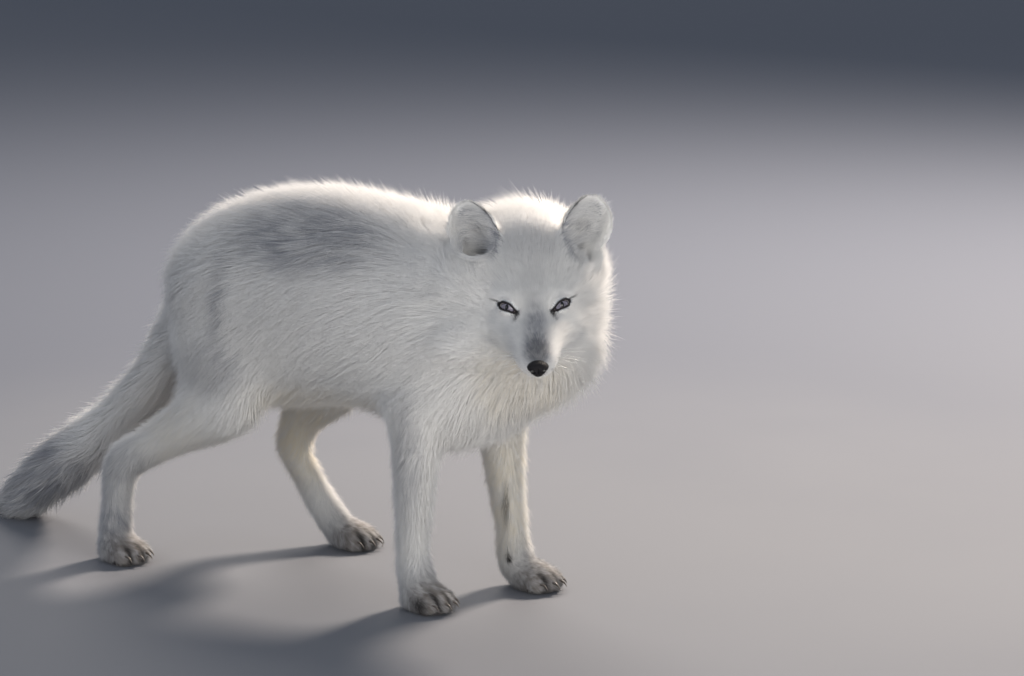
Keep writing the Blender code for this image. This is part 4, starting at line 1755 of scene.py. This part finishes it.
def grid_ball(rows: int, columns: int) -> tuple[Array, Array]:
    """A ball of radius one with its poles on Z.

    Args:
        rows: Steps from pole to pole.
        columns: Steps round.

    Returns:
        Its points, the poles last, and its triangles.
    """
    polar = np.linspace(0, math.pi, rows + 1)[1:-1]
    turn = np.linspace(0, 2 * math.pi, columns, endpoint=False)
    out, high = np.sin(polar)[:, None], np.cos(polar)[:, None]
    ring = np.stack((out * np.cos(turn), out * np.sin(turn), high + 0 * turn), axis=-1).reshape(-1, 3)
    points = np.vstack((ring, (0, 0, 1), (0, 0, -1)))
    faces = []
    for row in range(rows - 2):
        for column in range(columns):
            a, b = row * columns + column, row * columns + (column + 1) % columns
            faces += [(a, a + columns, b + columns), (a, b + columns, b)]
    top, bottom, last = len(ring), len(ring) + 1, (rows - 2) * columns
    for column in range(columns):
        after = (column + 1) % columns
        faces += [(top, column, after), (bottom, last + after, last + column)]
    return points, np.array(faces)


@dataclass
class Eye:
    """One eyeball: its cornea bulges a little, and its iris and pupil look where gaze points."""

    opening: EyeOpening
    gaze: Array
    iris: float = 5.5
    bulge: float = 0.5
    pupil_width: float = 1.25
    pupil_height: float = 2.2

    def build(self, name: str, material: bpy.types.Material) -> bpy.types.Object:
        """Makes the ball with the distances that its finish reads.

        Args:
            name: The piece's name.
            material: Its finish.

        Returns:
            The piece.
        """
        points, faces = grid_ball(48, 64)
        up = unit(self.opening.axes[:, 1] - self.gaze * (self.opening.axes[:, 1] @ self.gaze))
        upright = unit(UP - self.gaze * self.gaze[2])
        up = unit(up * 0.3 + upright * 0.7)
        side = np.cross(up, self.gaze)
        ball = self.opening.ball
        off_axis = np.hypot(points[:, 0], points[:, 1]) * ball
        front = points[:, 2] > 0
        radius = ball + np.where(front, self.bulge * rise(off_axis, self.iris * 1.05, 0.0), 0.0)
        placed = points * radius[:, None]
        frame = np.stack((side, up, self.gaze), axis=1)
        made = new_object(name, self.opening.centre + placed @ frame.T * MM, faces, material)
        # painted shadow of the upper lid: the iris darkens towards its top
        shadow = 0.5 * rise(self.opening.inside(points_of(made.data))[:, 1], -0.2, 2.4)
        away = np.where(front, off_axis / self.iris + shadow * (off_axis < self.iris), 3.0)
        slit = np.hypot(points[:, 0] * ball / self.pupil_width, points[:, 1] * ball / self.pupil_height)
        write_values(made.data, "from_axis", away)
        write_values(made.data, "from_slit", np.where(front, slit, 3.0))
        return made


@dataclass
class Nose:
    """The nose's leather, with a nostril on each side and a groove down the middle."""

    head: Head
    half_width: float = 8.6
    reach: float = 6.6
    half_height: float = 6.5
    groove_width: float = 0.55
    groove_depth: float = 0.9
    nostril_out: float = 4.1  # from the middle line
    nostril_depth: float = 3.0
    rim_height: float = 0.55
    tilt_deg: float = 14.0

    def build(self, material: bpy.types.Material) -> bpy.types.Object:
        """Makes the nose from a ball: wide above, narrow below.

        Args:
            material: Its finish.

        Returns:
            The piece.
        """
        points, faces = grid_ball(56, 72)
        x, y, z = points[:, 0].copy(), points[:, 2].copy(), points[:, 1].copy()
        narrow = 0.62 + 0.38 * rise(z, -0.95, 0.35)
        wide = x * self.half_width * narrow
        ahead = y * self.reach * (1 - 0.16 * rise(z, 0.1, -1.0)) - 0.6 * rise(np.abs(x), 0.2, 1.0)
        high = z * self.half_height
        groove = np.exp(-(wide / self.groove_width) ** 2) * rise(z, 0.55, 0.05) * rise(y, 0.1, 0.5)
        ahead = ahead - self.groove_depth * groove
        for side in (-1, 1):
            middle = side * (self.nostril_out + 0.16 * (high + 0.6) ** 2)
            curl = np.hypot((wide - middle) / 1.75, (high + 0.7) / 1.5)
            slot = np.hypot((wide - side * 6.3) / 2.2, (high + 1.6) / 0.75)
            sunk = np.maximum(rise(curl, 1.15, 0.45), 0.8 * rise(slot, 1.2, 0.4)) * rise(y, -0.05, 0.35)
            rim = rise(curl, 2.1, 1.25) * rise(y, 0.0, 0.4) * (1 - rise(curl, 1.25, 0.8))
            ahead = ahead - self.nostril_depth * sunk + self.rim_height * rim
            wide = wide - side * 0.8 * sunk
        offset = np.stack((wide, ahead, high), axis=1)
        nose = self.head.inside(self.head.nose[None])[0]
        tilt = math.radians(self.tilt_deg)
        turned = offset.copy()
        turned[:, 1] = offset[:, 1] * math.cos(tilt) - offset[:, 2] * math.sin(tilt)
        turned[:, 2] = offset[:, 1] * math.sin(tilt) + offset[:, 2] * math.cos(tilt)
        return new_object("nose_leather", self.head.outside(nose + turned), faces[:, ::-1], material)


def tube(stations: Sequence[tuple[Array, float]], sides: int) -> Tube:
    """A closed tapered tube through its stations.

    Args:
        stations: Each a place and a radius, in the same unit.
        sides: How many sides it has.

    Returns:
        Points, triangles, and how far along each point is, from 0 to 1.
    """
    places = np.array([place for place, _ in stations], float)
    ahead = unit(np.gradient(places, axis=0))
    guess = np.array((0.31, 0.17, 0.93))
    side = unit(np.cross(ahead, guess))
    over = np.cross(ahead, side)
    turn = np.linspace(0, 2 * math.pi, sides, endpoint=False)
    rings = [place + radius * (np.cos(turn)[:, None] * s + np.sin(turn)[:, None] * o)
             for (place, radius), s, o in zip(stations, side, over)]
    points = np.vstack((*rings, places[0], places[-1]))
    faces = []
    for ring in range(len(stations) - 1):
        for k in range(sides):
            a, b = ring * sides + k, ring * sides + (k + 1) % sides
            faces += [(a, b, b + sides), (a, b + sides, a + sides)]
    first, last, top = len(stations) * sides, len(stations) * sides + 1, (len(stations) - 1) * sides
    for k in range(sides):
        after = (k + 1) % sides
        faces += [(first, after, k), (last, top + k, top + after)]
    along = np.repeat(np.linspace(0, 1, len(stations)), sides)
    return points, np.array(faces), np.concatenate((along, (0.0, 1.0)))


def tubes_object(name: str, tubes: Sequence[Tube], material: bpy.types.Material) -> bpy.types.Object:
    """Several tubes as one piece.

    Args:
        name: The piece's name.
        tubes: What it is made of.
        material: Its finish, which reads how far along each point is as tip.

    Returns:
        The piece.
    """
    starts = np.cumsum([0] + [len(points) for points, _, _ in tubes[:-1]])
    points = np.concatenate([points for points, _, _ in tubes])
    faces = np.concatenate([faces + start for (_, faces, _), start in zip(tubes, starts)])
    made = new_object(name, points, faces, material)
    write_values(made.data, "tip", np.concatenate([along for _, _, along in tubes]))
    return made


@dataclass
class Surface:
    """Finds places on the finished skin."""

    skin: Skin
    aside: float = 60.0  # from the head's middle to where a ray from the side starts
    ahead: float = 90.0  # and to where one from the front starts

    def __post_init__(self) -> None:
        """Builds the search tree."""
        self.tree = surface_of(self.skin.points, self.skin.faces)

    def towards(self, start: Triple, way: Triple) -> tuple[Array, Array] | None:
        """Where a ray from a place of the head meets the skin.

        Args:
            start: The place in the head's frame, in millimetres.
            way: The ray's way in the same frame.

        Returns:
            The place in the fox's frame and the skin's normal there, or None where it meets nothing.
        """
        head = self.skin.head
        hit, normal, _, _ = self.tree.ray_cast(Vector(head.outside(start)), Vector(head.way(*way)))
        return None if hit is None else (np.array(hit), np.array(normal))


@dataclass
class Mouth:
    """The dark line of the lips, from under the nose back to both corners of the mouth."""

    head: Head
    surface: Surface
    back_to: float = 20.0
    radius: float = 0.95
    below_nose: float = 10.5
    steps: int = 14

    def build(self, material: bpy.types.Material) -> bpy.types.Object:
        """Lays one tube along the muzzle on each side, and a short one under the nose.

        Args:
            material: Its finish.

        Returns:
            The piece.
        """
        nose = self.head.inside(self.head.nose[None])[0]
        tubes = []
        for side in (-1, 1):
            stations = []
            for step in range(self.steps + 1):
                t = step / self.steps
                ahead = nose[1] + 1.0 - (nose[1] + 1.0 - self.back_to) * t
                up = nose[2] - self.below_nose - 2.2 * math.sin(t * math.pi) + 3.0 * t**3 - 1.0 * t
                if step == 0:
                    hit = self.surface.towards((side * 0.4, self.surface.ahead, up), (0, -1, 0))
                else:
                    hit = self.surface.towards((side * self.surface.aside, ahead, up), (-side, 0, 0))
                if hit is None:
                    continue
                place, normal = hit
                size = self.radius * (0.75 + 0.35 * math.sin(t * math.pi)) * (1 - 0.75 * t**4)
                stations.append((place - normal * 0.25 * MM, size * MM))
            tubes.append(tube(stations, 8))
        stations = []
        for step in range(5):
            up = nose[2] - 4.5 - 1.6 * step
            hit = self.surface.towards((0, self.surface.ahead, up), (0, -1, 0))
            if hit:
                stations.append((hit[0] - hit[1] * 0.2 * MM, (0.55 + 0.08 * step) * MM))
        if len(stations) > 2:
            tubes.append(tube(stations, 8))
        return tubes_object("lips", tubes, material)


@dataclass
class Whiskers:
    """Pale whiskers from rows on each side of the muzzle."""

    head: Head
    surface: Surface
    rows: int = 3
    columns: int = 4
    row_step: float = 3.2
    column_step: float = 5.2
    length: float = 36.0
    radius: float = 0.17
    steps: int = 8

    def build(self, material: bpy.types.Material) -> bpy.types.Object:
        """Makes the whiskers, longest at the back, curving back and down.

        Args:
            material: Its finish.

        Returns:
            The piece.
        """
        rng = np.random.default_rng(SEED + 7)
        nose = self.head.inside(self.head.nose[None])[0]
        tubes = []
        for side in (-1, 1):
            for row in range(self.rows):
                for column in range(self.columns):
                    ahead = nose[1] - 10 - self.column_step * column + rng.uniform(-1.4, 1.4)
                    up = nose[2] - 1.0 - self.row_step * row + rng.uniform(-0.8, 0.8)
                    hit = self.surface.towards((side * self.surface.aside, ahead, up), (-side, 0, 0))
                    if hit is None:
                        continue
                    place, normal = hit
                    reach = self.length * (0.42 + 0.14 * column) * rng.uniform(0.85, 1.1)
                    back = -0.55 + 0.1 * rng.normal()
                    out = unit(normal + self.head.way(side * 0.7, back, -0.22 - 0.1 * row))
                    bend = self.head.way(side * 0.15, -0.62, -0.60)
                    stations = []
                    for step in range(self.steps + 1):
                        t = step / self.steps
                        at = place + (out * reach * t + bend * reach * 0.30 * t * t) * MM
                        stations.append((at, self.radius * (1 - 0.88 * t) * MM))
                    tubes.append(tube(stations, 5))
        return tubes_object("whiskers", tubes, material)


# ------------------------------------------------------------------ the studio


@dataclass
class Studio:
    """Floor, lights and camera, in metres."""

    heart: Triple = (0.0, 0.0, 0.17)  # what the lights face
    snow_light: Triple = (-0.46, -0.50, 0.004)  # where light is thrown back from the ground
    sky: Triple = (0.74, 0.82, 0.96)
    sky_strength: float = 0.42
    floor_size: float = 60.0
    azimuth_deg: float = -56.1
    elevation_deg: float = 10.9
    distance: float = 2.60
    lens: float = 112.7
    aim: Triple = (0.0504, -0.1981, 0.206)

    def direction(self, azimuth_deg: float, elevation_deg: float) -> Vector:
        """The way from the fox to a place round it; azimuth 0 is in front, 90 at its left."""
        a, e = math.radians(azimuth_deg), math.radians(elevation_deg)
        return Vector((math.sin(a) * math.cos(e), -math.cos(a) * math.cos(e), math.sin(e)))

    def camera_place(self) -> Vector:
        """Where the camera stands."""
        return Vector(self.aim) + self.direction(self.azimuth_deg, self.elevation_deg) * self.distance

    def camera(self) -> None:
        """Makes the camera."""
        data = bpy.data.cameras.new("camera")
        data.lens, data.sensor_width = self.lens, 36.0
        data.clip_start, data.clip_end = 0.05, 200.0
        made = linked("camera", data)
        made.location = self.camera_place()
        made.rotation_euler = (Vector(self.aim) - made.location).to_track_quat("-Z", "Y").to_euler()
        bpy.context.scene.camera = made

    def lamp(self, name: str, place: Vector, towards: Vector, size: float, watts: float, colour: Triple,
             mirrored: bool = True) -> None:
        """One soft round light, which the camera doesn't see.

        Args:
            name: Its name.
            place: Where it is.
            towards: What it faces.
            size: How wide it is.
            watts: Its strength.
            colour: Its colour.
            mirrored: Whether wet things mirror it.
        """
        data = bpy.data.lights.new(name, "AREA")
        data.shape, data.size, data.energy, data.color = "DISK", size, watts, colour
        made = linked(name, data)
        made.location = place
        made.rotation_euler = (towards - place).to_track_quat("-Z", "Y").to_euler()
        made.visible_camera = False
        made.visible_glossy = mirrored

    def light(self, name: str, azimuth: float, elevation: float, away: float, size: float, watts: float,
              colour: Triple) -> None:
        """One light that faces the fox from a distance, as lamp has the rest."""
        heart = Vector(self.heart)
        self.lamp(name, heart + self.direction(azimuth, elevation) * away, heart, size, watts, colour)

    def build(self, floor_finish: bpy.types.Material) -> None:
        """Makes the floor, the lights, the world and the camera.

        Args:
            floor_finish: The floor's finish.
        """
        half = self.floor_size / 2
        corners = np.array(((-half, -half, 0), (half, -half, 0), (half, half, 0), (-half, half, 0)))
        new_object("floor", corners, np.array(((0, 1, 2, 3),)), floor_finish)
        self.light("key", 84, 35, 3.0, 0.6, 160, (1.0, 0.87, 0.74))
        self.light("top", 128, 46, 3.0, 1.4, 40, (1.0, 0.92, 0.84))
        self.light("fill", -105, 16, 3.2, 2.6, 16, (0.92, 0.95, 1.0))
        self.light("front", -32, 4, 3.4, 2.4, 80, (1.0, 0.97, 0.92))
        ground = Vector(self.snow_light)
        self.lamp("bounce", ground, ground + Vector(UP), 0.6, 2.2, (1.0, 0.96, 0.90), mirrored=False)
        world = bpy.data.worlds.new("studio")
        world.use_nodes = True
        background = world.node_tree.nodes["Background"].inputs
        background["Color"].default_value = (*self.sky, 1.0)
        background["Strength"].default_value = self.sky_strength
        bpy.context.scene.world = world
        bpy.context.scene.view_settings.view_transform = "Standard"
        self.camera()


def main() -> None:
    """Builds the fox, piece by piece, and then the studio round it."""
    logging.basicConfig(level=logging.INFO, format="%(name)s: %(message)s")
    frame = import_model()
    head = Head()
    studio = Studio()
    fur = FurFinish("fur_winter").material()
    bare = FurFinish("fur_skin", bare=True).material()
    leather = LeatherFinish("nose_skin", (0.006, 0.005, 0.006), (0.012, 0.010, 0.012), 0.48, 0.8)
    lip = LeatherFinish("lip_skin", (0.016, 0.013, 0.014), (0.030, 0.026, 0.027), 0.42, 1.2)
    pad = LeatherFinish("pad_skin", (0.035, 0.030, 0.030), (0.065, 0.055, 0.052), 0.6, 1.0).material()
    paws = ("forepaw_left", "forepaw_right", "hindpaw_left", "hindpaw_right")
    feet = [Foot(node, frame["nodes"][node]) for node in paws]
    ears = [Ear(head, side) for side in (1, -1)]
    skin = Skin(head, frame["nodes"], ears)
    skin.build()
    skin.finish(bare, Markings(head, skin.eye_openings, ears, feet))
    carried(skin.made, "fur_white", *FLESH)
    Coat(skin).build(fur)

    camera = np.array(studio.camera_place())
    for opening, side in zip(skin.eye_openings, ("right", "left")):
        looking = unit(unit(camera - opening.centre) * 0.5 + opening.out * 0.5)
        eye = Eye(opening, looking).build("eyeball_" + side, EyeFinish().material())
        carried(eye, "eye_gloss", "eye_" + side)
    surface = Surface(skin)
    carried(Nose(head).build(leather.material()), "nose_leather", "nose")
    carried(Mouth(head, surface).build(lip.material()), "nose_leather")
    carried(Whiskers(head, surface).build(HairFinish().material()), "fur_white")
    horn = HornFinish().material()
    for foot in feet:
        carried(tubes_object("claws_" + foot.node, foot.claws(), horn), "fur_paw")
        carried(tubes_object("pads_" + foot.node, foot.pads(), pad), "fur_paw")
    studio.build(FloorFinish().material())


if __name__ == "__main__":
    main()
